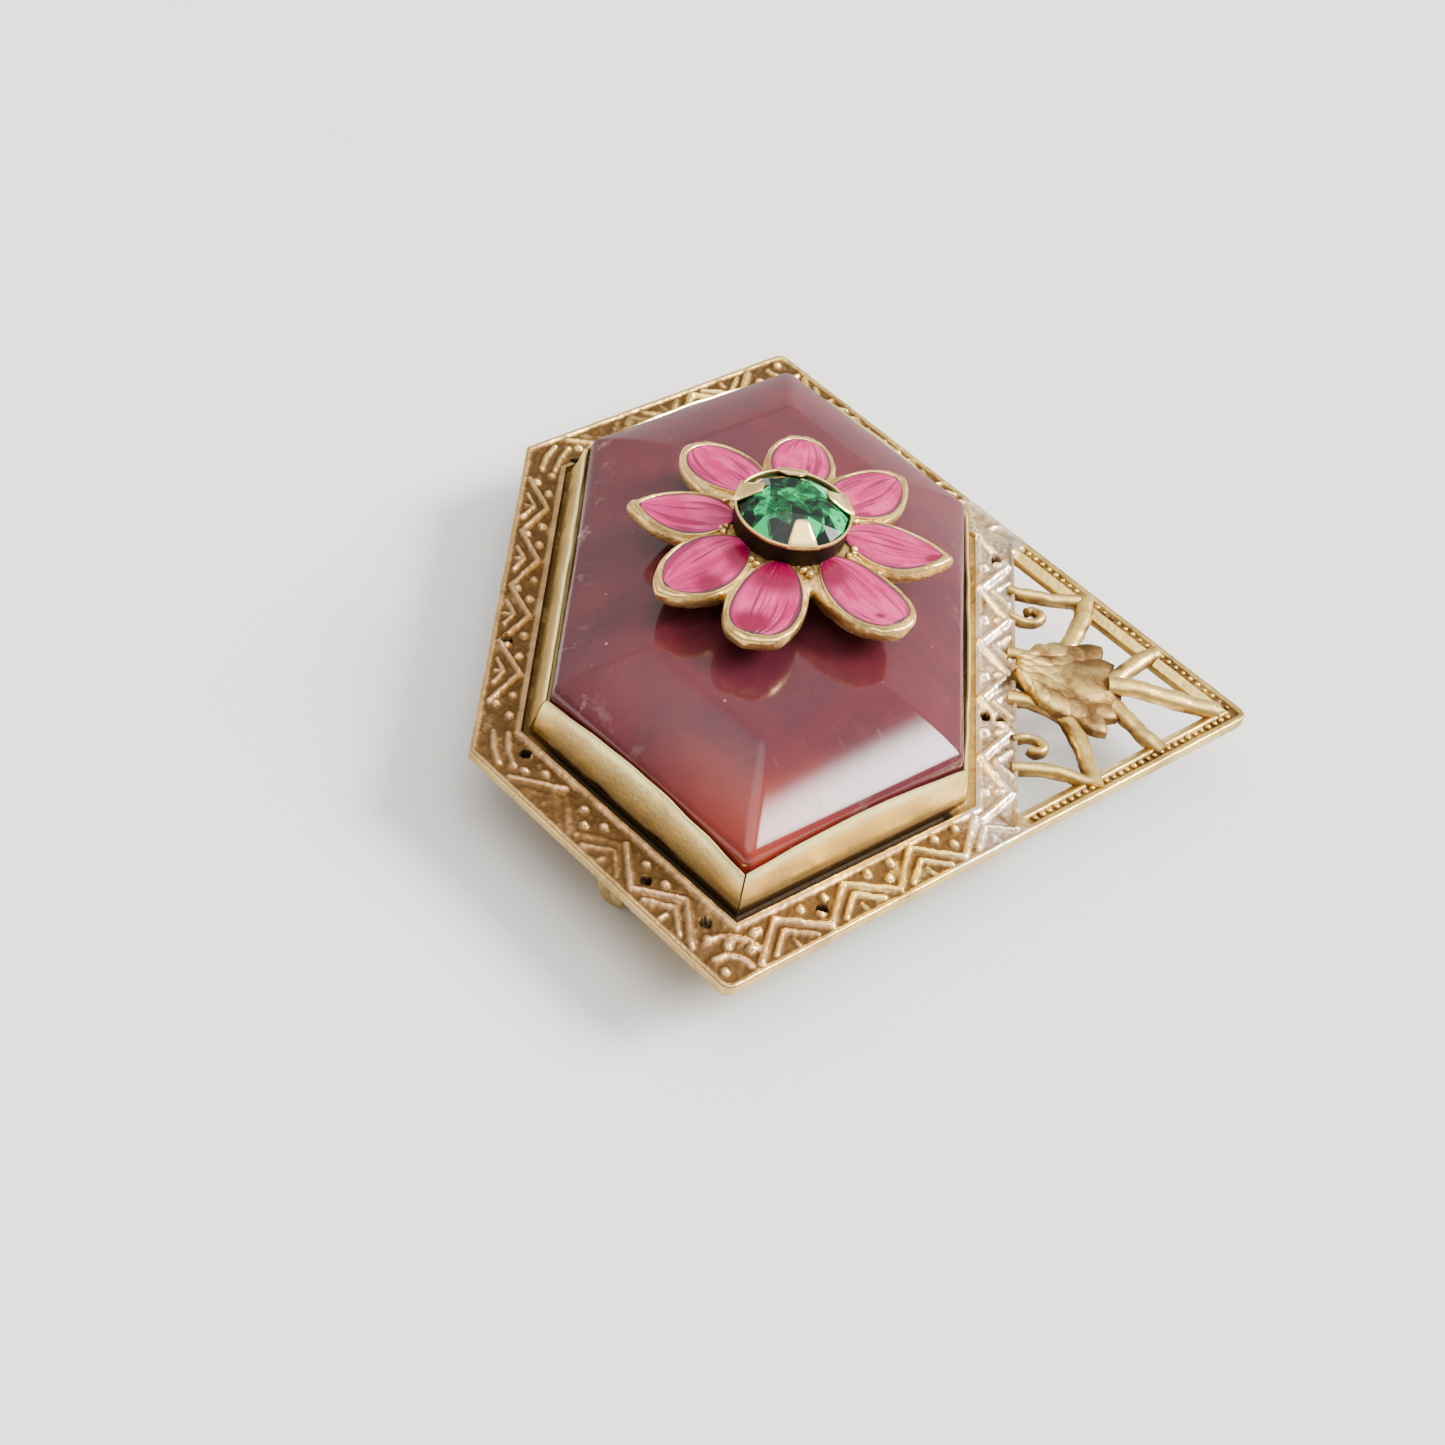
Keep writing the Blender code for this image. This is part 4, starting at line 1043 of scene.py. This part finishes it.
def lotus_head():
    """The fan of overlapping scales between the strip and the keel, over a plain dome."""
    outline = []
    for i in range(48):
        turn = 2 * pi * i / 48
        along = (1 - cos(turn)) / 2
        outline.append((27.0 + 6.1 * along, -2.2 * sin(turn) * (0.5 + 0.6 * along)))
    rings = []
    for shrink, z in ((0.8, -0.55), (1.0, -0.35), (0.98, 0.05), (0.8, 0.4), (0.5, 0.6), (0.15, 0.66)):
        rings.append([(30.0 + (x - 30.0) * shrink, y * shrink, z) for x, y in outline])
    parts = [loft(rings)]
    for x, length, half, rise, turns in SCALE_ROWS:
        for turn in turns:
            parts.append(lotus_scale(x, turn / 90 * 1.9, turn, length, half, -0.1, rise))
    head = piece_from("lotus_head", "frame_plate", "stamped_brass", gathered(parts), 50.0)
    paint_depth(head, -0.1, 0.9)
    return head


def tail_beading():
    """A row of beads in the groove of each tail border."""
    rows = []
    for side in (1, -1):
        inset = inset_outline(KITE, 0.58)
        start = lerp(inset[1], inset[2], (TAIL_START + 0.6) / hypot(LENGTH - CORNER_X, HALF_WIDTH))
        end = lerp(inset[1], inset[2], 0.985)
        points = [(start[0], start[1] * side, -0.12), (end[0], end[1] * side, -0.12)]
        rows.append(grown("bead_row", BEADING, points, "stamped_brass", Pitch=0.5 * MM, Radius=0.16 * MM,
                          Seed=4 + side))
    beading = joined("tail_beading", rows)
    paint_depth(beading, -0.5, 0.04)
    return fit(beading, "frame_plate")


# ---------------------------------------------------------------- tray, foil and stone

FLAP_LOW = 1.9
FLAP_BOW = 0.6


def flap(side):
    """One folded side of the tray, bowed along its lip and leaning in, with slits at its ends."""
    steps = 44
    rings = []
    for i in range(steps + 1):
        run = i / steps
        bow = 4 * run * (1 - run)
        ring = []
        for inset, height, share in flap_section(bow):
            if side == 5:
                inset = inset - 0.24 * max(0.0, 1 - height / 0.8)
            corners = hexagon(inset)
            p, q = corners[side], corners[(side + 1) % 6]
            trim = 0.045 / hypot(q[0] - p[0], q[1] - p[1])
            x, y = lerp(p, q, trim + run * (1 - 2 * trim))
            swell = 0.02 * float(ripple(x * 1.3 + side, y + height, 3.4, 31)) * share
            ring.append((x + swell, y + swell, height + swell))
        rings.append(ring)
    return loft(rings)


def flap_section(bow):
    """The flap's outline across its thickness, anticlockwise seen from its start."""
    lip = FLAP_LOW + FLAP_BOW * bow
    return ((0.0, 0.03, 0.0), (0.03, 0.5, 0.5), (0.10, lip * 0.5, 1.0), (0.22, lip * 0.8, 1.0),
            (0.31, lip - 0.09, 1.0), (0.36, lip - 0.01, 1.0), (0.43, lip, 1.0), (0.50, lip - 0.06, 1.0),
            (0.51, lip - 0.16, 1.0), (0.42, lip * 0.72, 0.5), (0.34, lip * 0.45, 0.2), (0.27, 0.25, 0.0),
            (0.25, 0.03, 0.0))


def slab(outline, low, high):
    return loft([[(x, y, low) for x, y in outline], [(x, y, high) for x, y in outline]])


def stone_tray():
    """The tray: its six flaps on a flat floor."""
    parts = [flap(side) for side in range(6)]
    parts.append(slab(hexagon(0.2), 0.05, 0.26))
    shape = gathered(parts)
    x, y, z = np.array(shape[0]).T
    left = step(4.5, 3.2, x)
    stained = np.clip(0.5 * ripple(x, y, 3.0, 40) - 0.2, 0, 0.6) * step(16.0, 12.0, x)
    foot = np.clip(1 - np.abs(z - 0.1) / 0.3, 0, 1)
    # painted shade darkens the flaps towards their foot except on the left, where a painted highlight lights
    # the foot; the lip is lighter as wear and painted highlight; stained adds real mottles
    marks = {"patina_and_shade": np.clip(1.0 - z / 0.3, 0, 1) * 1.3 * (1 - left) + stained,
             "wear_and_highlight": np.clip((z - FLAP_LOW + 0.1) / 0.5, 0, 1) * 0.4 + left * foot * 1.4}
    return piece_from("stone_tray", "bezel_cup", "polished_brass", shape, 40.0, marks)


def stone_foil():
    return piece_from("foil", "stone_foil", "tin_foil", slab(hexagon(0.62), 0.31, 0.39))


def soft_hexagon(inset, radius):
    """The stone's outline with small arcs at its corners and plain runs between them."""
    corners = hexagon(inset)
    out = []
    for i, corner in enumerate(corners):
        here = Vector(corner)
        back = (Vector(corners[i - 1]) - here).normalized()
        ahead = (Vector(corners[(i + 1) % 6]) - here).normalized()
        half = back.angle(ahead) / 2
        reach = radius / tan(half)
        middle = (back + ahead).normalized() * (radius / sin(half))
        start = back * reach - middle
        end = ahead * reach - middle
        out.append(here + back * (reach + 0.12))
        for s in range(6):
            spoke = start.lerp(end, s / 5).normalized() * radius
            out.append(here + middle + spoke)
        out.append(here + ahead * (reach + 0.12))
        following = Vector(corners[(i + 1) % 6])
        for s in range(1, 8):
            out.append((here + ahead * (reach + 0.12)).lerp(following - ahead * (reach + 0.12), s / 8))
    return out


# Inset, height and corner radius of the stone from its girdle to its table
STONE_SECTION = (
    (0.70, 0.40, 0.35), (0.64, 0.60, 0.40), (0.62, 1.2, 0.45), (0.62, 2.1, 0.45), (0.63, 2.32, 0.45),
    (0.68, 2.52, 0.45), (0.78, 2.68, 0.45), (0.93, 2.81, 0.45), (1.10, 2.93, 0.45), (1.3, 3.06, 0.45),
    (1.7, 3.30, 0.45), (2.2, 3.57, 0.45), (2.8, 3.86, 0.42), (3.4, 4.12, 0.40), (3.9, 4.32, 0.36),
    (4.3, 4.465, 0.33), (4.6, 4.57, 0.30), (4.85, 4.65, 0.28), (5.1, 4.71, 0.26), (5.35, 4.745, 0.24),
    (5.6, STONE_TABLE, 0.22),
)


def red_stone():
    """The bevelled hexagonal stone, with its edges softened by polishing."""
    rings = []
    for inset, z, radius in STONE_SECTION:
        rings.append([(p.x, p.y, z) for p in soft_hexagon(inset, radius)])
    shape = loft(rings)
    x, y, z = np.array(shape[0]).T
    near_corner = np.hypot((x - TRAY_X) * 0.8, y + TRAY_POINT - 2.5)
    girdle = np.clip(1 - (z - 2.3) / 1.3, 0, 1) * np.clip((z - 2.2) / 0.2, 0, 1)
    left = step(7.0, 3.4, x) * 0.8 + 0.25
    # painted glow of light towards the near corner, fading out towards the table
    marks = {"painted_glow": np.clip(1.05 - near_corner / 6.5, 0, 1) * np.clip((4.6 - z) / 0.8, 0, 1),
             "scuffed": girdle * left,
             "dull": np.clip((y - 2.0) / 6.0, 0, 1) * np.clip((4.735 - z) / 0.12, 0, 1)}
    return piece_from("red_stone", "stone", "carnelian_glass", shape, 80.0, marks)


# ---------------------------------------------------------------- flower

# Turn, reach and half width of each petal, how slim its root and its tip are, and its tip's sideways lean
PETALS = (
    (1.0, 8.6, 1.95, 0.65, 0.86, 0.25), (44.0, 8.6, 2.0, 0.65, 0.62, 0.45),
    (86.0, 8.3, 1.9, 0.6, 0.46, 0.0), (129.0, 8.1, 2.0, 0.6, 0.50, 0.35),
    (180.0, 8.2, 1.9, 0.65, 0.80, -0.35), (221.0, 8.5, 2.05, 0.65, 0.66, 0.3),
    (264.0, 8.4, 2.0, 0.60, 0.40, -0.55), (315.0, 8.3, 2.0, 0.55, 0.40, 0.5),
)
PETAL_ROOT = 2.75
CROWN = 0.5


def crown(radius):
    """How far the flower's face rises towards its cup."""
    return CROWN * (1 - step(2.6, 7.0, radius))


def petal_side(number, along, inset, root):
    """How far out and how wide a petal is at a share of its length, and its sideways lean there."""
    _, reach, half, slim_root, slim_tip, lean = PETALS[number]
    out = root + (reach - inset * (0.9 + slim_tip) - root) * along
    widest = slim_root / (slim_root + slim_tip)
    t = np.clip(along, 0, 1)
    wide = (t / widest) ** slim_root * ((1 - t) / (1 - widest)) ** slim_tip
    return out, (half - inset) * wide, lean * along ** 2


def round_flower(turn, out, side=0.0):
    """A place in plan from the flower's middle: outwards along a direction, and to the left of it."""
    return FLOWER_X + out * cos(turn) - side * sin(turn), out * sin(turn) + side * cos(turn)


def on_petal(number, out, side):
    return round_flower(radians(PETALS[number][0]), out, side)


def petal_loop(number, inset, steps=36):
    """A petal's outline in plan, anticlockwise from its root."""
    loop = []
    for i in range(2 * steps):
        along = 1 - abs(1 - i / steps)
        out, wide, lean = petal_side(number, along, inset, PETAL_ROOT)
        side = lean - wide if i < steps else lean + wide
        loop.append(on_petal(number, out, side))
    return loop


def flower_edge(angles):
    """The casting's outer edge all round: its petals, drawn together in the hollows between them."""
    reach = np.zeros((len(PETALS) + 1, len(angles)))
    reach[-1] = 4.3
    along = np.linspace(0.0, 1.0, 400)
    for number in range(len(PETALS)):
        out, wide, lean = petal_side(number, along, 0.0, 1.2)
        for side in (-1, 1):
            x, y = on_petal(number, out, lean + side * wide)
            turn = np.unwrap(np.arctan2(y, x - FLOWER_X))
            far = np.hypot(x - FLOWER_X, y)
            middle = radians(PETALS[number][0])
            away = (turn - middle + pi) % (2 * pi) - pi
            peak = int(np.argmax(np.abs(away)))
            branch = slice(peak, None)
            order = np.argsort(away[branch])
            offset = (angles - middle + pi) % (2 * pi) - pi
            found = np.interp(offset, away[branch][order], far[branch][order], left=0.0, right=0.0)
            reach[number] = np.maximum(reach[number], found)
    sharpness = 5.0
    return np.log(np.exp(sharpness * reach).sum(0)) / sharpness


def flower_casting():
    """The cast flower: a flat-topped body with thick wavy sides, its cell walls, and the boss under it."""
    count = 720
    angles = np.arange(count) * 2 * pi / count
    edge = flower_edge(angles)
    valley = np.clip((6.4 - edge) / 1.4, 0, 1)
    rings = []

    def ring(radius, z, lift=1.0):
        x = FLOWER_X + radius * np.cos(angles)
        y = radius * np.sin(angles)
        rough = 0.035 * ripple(x, y, 1.1, 53) + 0.015 * ripple(x, y, 0.5, 54)
        rings.append(list(zip(x, y, z + lift * (crown(radius) + rough))))

    wave = 0.05 * ripple(angles * 8.0, angles * 3.0, 1.7, 51)
    ring(np.full(count, 0.8), STONE_TABLE + 0.03, 0.0)
    ring(np.full(count, 0.8), FLOWER_TOP, 0.0)
    for share in (0.35, 0.5, 0.62, 0.72, 0.8, 0.87, 0.92):
        ring(edge * share, FLOWER_TOP - 0.05 - 0.2 * valley * share ** 4)
    for inset, drop in ((0.24, 0.0), (0.13, 0.02), (0.06, 0.07), (0.02, 0.16), (0.0, 0.3)):
        ring(edge - inset, FLOWER_TOP - drop - 0.22 * valley)
    for inset, z in ((0.03, -0.45), (0.10, -0.65), (0.22, -0.82), (0.40, -0.93), (0.7, -0.95)):
        ring(edge - inset + wave, FLOWER_TOP + z, 0.6)
    ring(np.full(count, 2.6), FLOWER_LOW, 0.0)
    ring(np.full(count, 2.4), FLOWER_LOW - 0.1, 0.0)
    ring(np.full(count, 2.4), STONE_TABLE + 0.03, 0.0)
    parts = [loft(rings[::-1], closed=True)]
    for number in range(len(PETALS)):
        walls = []
        for inset, z in ((0.02, -0.14), (0.0, 0.02), (-0.05, 0.07), (-0.13, 0.06), (-0.21, -0.12)):
            walls.append([(x, y, FLOWER_TOP + z + crown(hypot(x - FLOWER_X, y)))
                          for x, y in petal_loop(number, RIM + inset)])
        parts.append(loft(walls[::-1], closed=True))
    shape = gathered(parts)
    x, y, z = np.array(shape[0]).T
    # patina with painted shade on the casting's low sides and round the cup, its top slightly lighter as wear
    # and painted highlight
    low = np.clip((FLOWER_TOP - 0.3 - z) / 0.7, 0, 1)
    near_cup = np.clip(1.3 - np.hypot(x - FLOWER_X, y) / 3.6, 0, 1)
    marks = {"patina_and_shade": np.clip(low * 0.45 + near_cup + 0.2 * ripple(x, y, 1.2, 52), 0, 1),
             "wear_and_highlight": np.clip((z - FLOWER_TOP + 0.12) / 0.12, 0, 1) * 0.15}
    return piece_from("flower_casting", "flower_base", "cast_brass", shape, 50.0, marks)


# Where each petal is stained: petal, share of its length, side, and spread of the stain
STAINS = ((5, 0.16, 0.55, 0.20), (6, 0.16, 0.05, 0.32), (7, 0.15, -0.45, 0.24), (5, 0.62, 0.85, 0.17),
          (6, 0.90, -0.2, 0.22), (7, 0.84, -0.35, 0.05), (0, 0.93, -0.6, 0.13))


def petal_enamel(number):
    """A petal's enamel: domed, with shallow lengthwise brush ridges, and a dark line at its edge."""
    long_steps, wide_steps = 44, 18
    points, uvs, outline, stain = [], [], [], []
    for i in range(long_steps + 1):
        along = 0.004 + 0.992 * (1 - cos(pi * i / long_steps)) / 2
        out, wide, lean = petal_side(number, along, RIM, PETAL_ROOT)
        for j in range(wide_steps + 1):
            across = (sin((j / wide_steps - 0.5) * pi) + 2 * j / wide_steps - 1) / 2
            x, y = on_petal(number, float(out), float(lean + wide * across))
            rim = min(1 - abs(across), 3.0 * min(along, 1 - along))
            dome = 0.10 * (1 - across ** 2) * sin(pi * along) ** 0.5
            brush = 0.012 * sin(across * 13 + number) * (1 - across ** 2)
            lift = float(crown(hypot(x - FLOWER_X, y)))
            points.append((x, y, FLOWER_TOP + 0.03 + lift + dome + brush))
            uvs.append((across * 0.5 + 0.5, along))
            outline.append(float(1 - step(0.04, 0.11, np.float64(rim))))
            marked = 0.0
            for petal, spot, side, size in STAINS:
                if petal == number:
                    away = hypot((along - spot) / size, (across - side) * 0.55 / (size * 2.2))
                    marked = max(marked, float(1 - step(0.55, 1.15, np.float64(away))))
            stain.append(marked)
    width = wide_steps + 1
    top = len(points)
    faces = []
    for i in range(long_steps):
        for j in range(wide_steps):
            a = i * width + j
            faces.append((a, a + width, a + width + 1, a + 1))
    points += [(x, y, FLOWER_TOP - 0.25) for x, y, _ in points]
    faces += [tuple(top + k for k in reversed(face)) for face in faces]
    border = [i * width for i in range(long_steps + 1)]
    border += [long_steps * width + j for j in range(1, width)]
    border += [i * width + wide_steps for i in range(long_steps - 1, -1, -1)]
    border += list(range(wide_steps - 1, 0, -1))
    for a, b in zip(border, border[1:] + border[:1]):
        faces.append((b, a, top + a, top + b))
    marks = {"outline": np.array(outline + [1.0] * top), "stain": np.array(stain + [0.0] * top),
             "petal_number": np.full(2 * top, number), "uv": np.array(uvs + uvs)}
    kept, kept_faces, marks = welded(np.array(points), faces, marks)
    places = marks.pop("uv")
    coat = piece_from(f"petal_enamel_{number + 1}", f"enamel_petal_{number + 1}", "pink_enamel",
                      (kept, kept_faces), 60.0, marks)
    layer = coat.data.uv_layers.new(name="petal")
    corners = np.zeros(len(coat.data.loops), np.int32)
    coat.data.loops.foreach_get("vertex_index", corners)
    layer.data.foreach_set("uv", places[corners].astype(np.float32).ravel())
    return coat


def flower_granules():
    """Grains of solder left in the hollows between the petals, beside the cup."""
    rng = np.random.default_rng(61)
    spots = []
    for (turn, *_), (following, *_) in zip(PETALS, PETALS[1:] + PETALS[:1]):
        middle = turn + ((following - turn) % 360) / 2
        for _ in range(3):
            angle = radians(middle + rng.uniform(-7, 7))
            out = rng.uniform(3.2, 3.6)
            spots.append((*round_flower(angle, out), FLOWER_TOP + CROWN))
    grains = grown("flower_granules", GRANULES, spots, "cast_brass", in_line=False, Radius=0.2 * MM,
                   Flatness=0.8, Seed=3)
    return fit(grains, "flower_base")


# ---------------------------------------------------------------- green stone in its cup

CUP_FOOT = FLOWER_TOP + 0.09
CUP_RIM = 8.63
PRONG_ANGLES = (-78.0, 20.0, 94.0, 168.0)
GIRDLE = 8.42
GIRDLE_RADIUS = 2.8
TABLE = 9.35
TABLE_RADIUS = 1.45


# Radius and height round the cup's wall
CUP_SECTION = (
    (0.9, CUP_FOOT), (2.84, CUP_FOOT), (2.90, CUP_FOOT + 0.1), (2.93, 7.6), (2.95, 8.3), (2.98, 8.42),
    (3.01, 8.48), (3.015, 8.54), (3.00, 8.59), (2.95, 8.61), (2.90, 8.59), (2.87, 8.54), (2.85, 8.4),
    (2.72, 7.4), (2.65, 7.25), (0.9, 7.25),
)
# A tongue's radius, half width and thickness from the rim to its tip, and its rounded section
PRONG = ((3.0, 0.82, 0.2), (2.93, 0.81, 0.22), (2.78, 0.76, 0.2), (2.5, 0.66, 0.19), (2.2, 0.53, 0.18),
         (1.95, 0.43, 0.17), (1.78, 0.36, 0.14), (1.70, 0.26, 0.08))
PRONG_SECTION = ((-1.0, 0.0), (1.0, 0.0), (1.0, 0.55), (0.86, 0.9), (0.55, 1.0), (-0.55, 1.0), (-0.86, 0.9),
                 (-1.0, 0.55))


def stone_cup():
    """The turned cup with its rolled rim, and four tongues bent over the stone."""
    count = 96
    rings = []
    for radius, z in CUP_SECTION:
        rings.append([(*round_flower(2 * pi * i / count, radius), z) for i in range(count)])
    shape = gathered([loft(rings, closed=True)] + [prong(angle) for angle in PRONG_ANGLES])
    z = np.array(shape[0])[:, 2]
    # painted shade: the wall below the rolled rim near-black; the rim's top lighter as wear and painted
    # highlight
    marks = {"patina_and_shade": np.clip((8.45 - z) / 0.12, 0, 1) * 1.5, "wear_and_highlight": np.clip((z - 8.5) / 0.1, 0, 1) * 0.6}
    return piece_from("stone_cup", "collet", "cup_brass", shape, 45.0, marks)


def prong(angle):
    """A tapering tongue that rises from the rim and lies on the stone's crown, with rounded sides and tip."""
    slope = (TABLE - GIRDLE) / (GIRDLE_RADIUS - TABLE_RADIUS)
    turn = radians(angle)
    rings = []
    for radius, half, thick in PRONG:
        under = max(GIRDLE + (GIRDLE_RADIUS - radius) * slope + 0.05, CUP_RIM - 0.16)
        ring = []
        for offset, lift in PRONG_SECTION:
            x, y = round_flower(turn, radius, offset * half)
            ring.append((x, y, under + lift * thick))
        rings.append(ring)
    return loft(rings[::-1])


def green_stone():
    """A round cut stone: table, star, main and girdle facets over a pavilion that comes to a small flat."""
    mesh = bmesh.new()

    def ring(radius, z, count, turn):
        places = [(*round_flower(turn + 2 * pi * i / count, radius), z) for i in range(count)]
        return [mesh.verts.new(place) for place in row(places)]

    table = ring(TABLE_RADIUS, TABLE, 8, pi / 8)
    star = ring(2.02, 9.02, 8, 0.0)
    top_edge = ring(GIRDLE_RADIUS, GIRDLE, 16, 0.0)
    low_edge = ring(GIRDLE_RADIUS, GIRDLE - 0.1, 16, 0.0)
    culet = ring(0.3, 7.55, 8, 0.0)
    mesh.faces.new(table)
    for i in range(8):
        after = (i + 1) % 8
        edge = 2 * i
        mesh.faces.new((table[i - 1], star[i], table[i]))
        mesh.faces.new((table[i], star[i], top_edge[(edge + 1) % 16], star[after]))
        mesh.faces.new((star[i], top_edge[edge], top_edge[(edge + 1) % 16]))
        mesh.faces.new((star[i], top_edge[edge - 1], top_edge[edge]))
        mesh.faces.new((culet[i], low_edge[edge], low_edge[edge - 1]))
        mesh.faces.new((culet[i], low_edge[(edge + 1) % 16], low_edge[edge]))
        mesh.faces.new((culet[i], culet[after], low_edge[(edge + 1) % 16]))
    for i in range(16):
        mesh.faces.new((low_edge[i], low_edge[(i + 1) % 16], top_edge[(i + 1) % 16], top_edge[i]))
    mesh.faces.new(culet[::-1])
    bmesh.ops.recalc_face_normals(mesh, faces=mesh.faces)
    data = bpy.data.meshes.new("green_stone")
    mesh.to_mesh(data)
    mesh.free()
    data.materials.append(FINISHES["emerald_glass"])
    # painted sparkle: each facet's share of light, the table darker
    rng = np.random.default_rng(71)
    lights = rng.choice((0.05, 0.25, 0.55, 0.85, 1.0), len(data.polygons))
    lights[0] = 0.3
    data.attributes.new("facet_glint", "FLOAT", "FACE").data.foreach_set("value", lights.astype(np.float32))
    return fit(placed("green_stone", data), "chaton")


# ---------------------------------------------------------------- rivets and fittings on the back

def eased_copy(node, name, slot, width, body):
    """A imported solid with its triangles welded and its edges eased."""
    shape = bmesh.new()
    shape.from_mesh(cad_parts[node].data)
    bmesh.ops.remove_doubles(shape, verts=shape.verts, dist=1e-7)
    bmesh.ops.dissolve_limit(shape, angle_limit=radians(1.0), verts=shape.verts, edges=shape.edges)
    mesh = bpy.data.meshes.new(name)
    shape.to_mesh(mesh)
    shape.free()
    mesh.materials.clear()
    mesh.materials.append(FINISHES[slot])
    mesh.shade_smooth()
    mesh.set_sharp_from_angle(angle=radians(35.0))
    piece = placed(name, mesh)
    ease = piece.modifiers.new("eased_edges", "BEVEL")
    ease.width = width * MM
    ease.segments = 2
    ease.limit_method = "ANGLE"
    ease.angle_limit = radians(35)
    ease.use_clamp_overlap = True
    return fit(piece, node, body)


# Node, piece, finish, width of its eased edges and body
FITTINGS = (
    ("centre_rivet", "rivet", "rivet_brass", 0.05, "brooch"),
    ("rivet_washer", "washer", "rivet_brass", 0.05, "brooch"),
    ("hinge_base", "hinge", "fittings_brass", 0.06, "brooch"),
    ("hinge_rivet", "hinge_axle", "rivet_brass", 0.04, "brooch"),
    ("pin_stem", "pin", "pin_wire", 0.04, "pin"),
    ("catch_housing", "catch", "fittings_brass", 0.06, "brooch"),
    ("catch_rotor", "catch_lever", "fittings_brass", 0.06, "rotor"),
)


def fittings():
    for fitting in FITTINGS:
        eased_copy(*fitting)


# ---------------------------------------------------------------- floor, light and camera

EYE = (3.120, -104.554, 93.638)
EYE_RIGHT = (0.98428, 0.06589, 0.16385)
EYE_UP = (-0.16341, 0.69163, 0.70352)
LENS = 67.25


def floor_finish():
    made, tree, shader = finish_named("pale_floor")
    where = own_place(tree)
    cloudy = spread(tree, noise(tree, where, 30.0, 4.0), 0.3, 0.7)
    tint = blend(tree, cloudy, color(0.80, 0.80, 0.78), color(0.84, 0.84, 0.82))
    wire(tree, shader, Base_Color=tint, Roughness=0.75)
    return made


# Soft lights and one dim patch: direction, cosines where each fades out and where it is full, and strength
SOFT_LIGHTS = (
    ((0.1, 0.5, 0.86), -0.1, 0.92, 0.75),
    ((-0.02, -0.1, 1.0), 0.80, 0.98, 3.0),
    ((0.76, 0.14, 0.63), 0.955, 0.999, 50.0),
    ((-0.1, 0.99, 0.02), 0.80, 0.985, -0.62),
)


def room_light():
    """A dim even room with soft-edged lights: a broad one behind, one above, and a window on the right."""
    world = bpy.data.worlds.new("room_light")
    world.use_nodes = True
    tree = world.node_tree
    where = add(tree, "ShaderNodeTexCoord").outputs["Generated"]
    total = 0.5
    for direction, out, full, strength in SOFT_LIGHTS:
        aim = Vector(direction).normalized()
        near = add(tree, "ShaderNodeVectorMath", {0: where, 1: aim}, operation="DOT_PRODUCT").outputs["Value"]
        names = {"Value": near, "From Min": out, "From Max": full, "To Max": strength}
        lobe = add(tree, "ShaderNodeMapRange", names, interpolation_type="SMOOTHERSTEP").outputs[0]
        total = plus(tree, lobe, total)
    sky = tree.nodes["Background"]
    sky.inputs["Color"].default_value = color(1.0, 0.985, 0.96)
    tree.links.new(total, sky.inputs["Strength"])
    return world


def studio():
    """A plain pale floor in the room's light, and the eye."""
    half = 0.9
    mesh = bpy.data.meshes.new("floor")
    corners = [(-half, -half, 0), (half, -half, 0), (half, half, 0), (-half, half, 0)]
    mesh.from_pydata(corners, [], [(0, 1, 2, 3)])
    mesh.materials.append(floor_finish())
    floor = placed("floor", mesh)
    floor.location.z = -0.0001
    bpy.context.scene.world = room_light()
    eye = bpy.data.cameras.new("eye")
    eye.lens = LENS
    eye.sensor_width = 36.0
    eye.clip_start = 0.005
    eye.clip_end = 10.0
    camera = placed("eye", eye)
    right, up = Vector(EYE_RIGHT).normalized(), Vector(EYE_UP).normalized()
    turn = Matrix((right, up, right.cross(up))).transposed().to_4x4()
    camera.matrix_world = Matrix.Translation(Vector(row([EYE])[0])) @ turn
    bpy.context.scene.camera = camera


stamped_plate()
tail_ribs()
lotus_head()
tail_beading()
stone_tray()
stone_foil()
red_stone()
flower_casting()
for petal in range(len(PETALS)):
    petal_enamel(petal)
flower_granules()
stone_cup()
green_stone()
fittings()
studio()
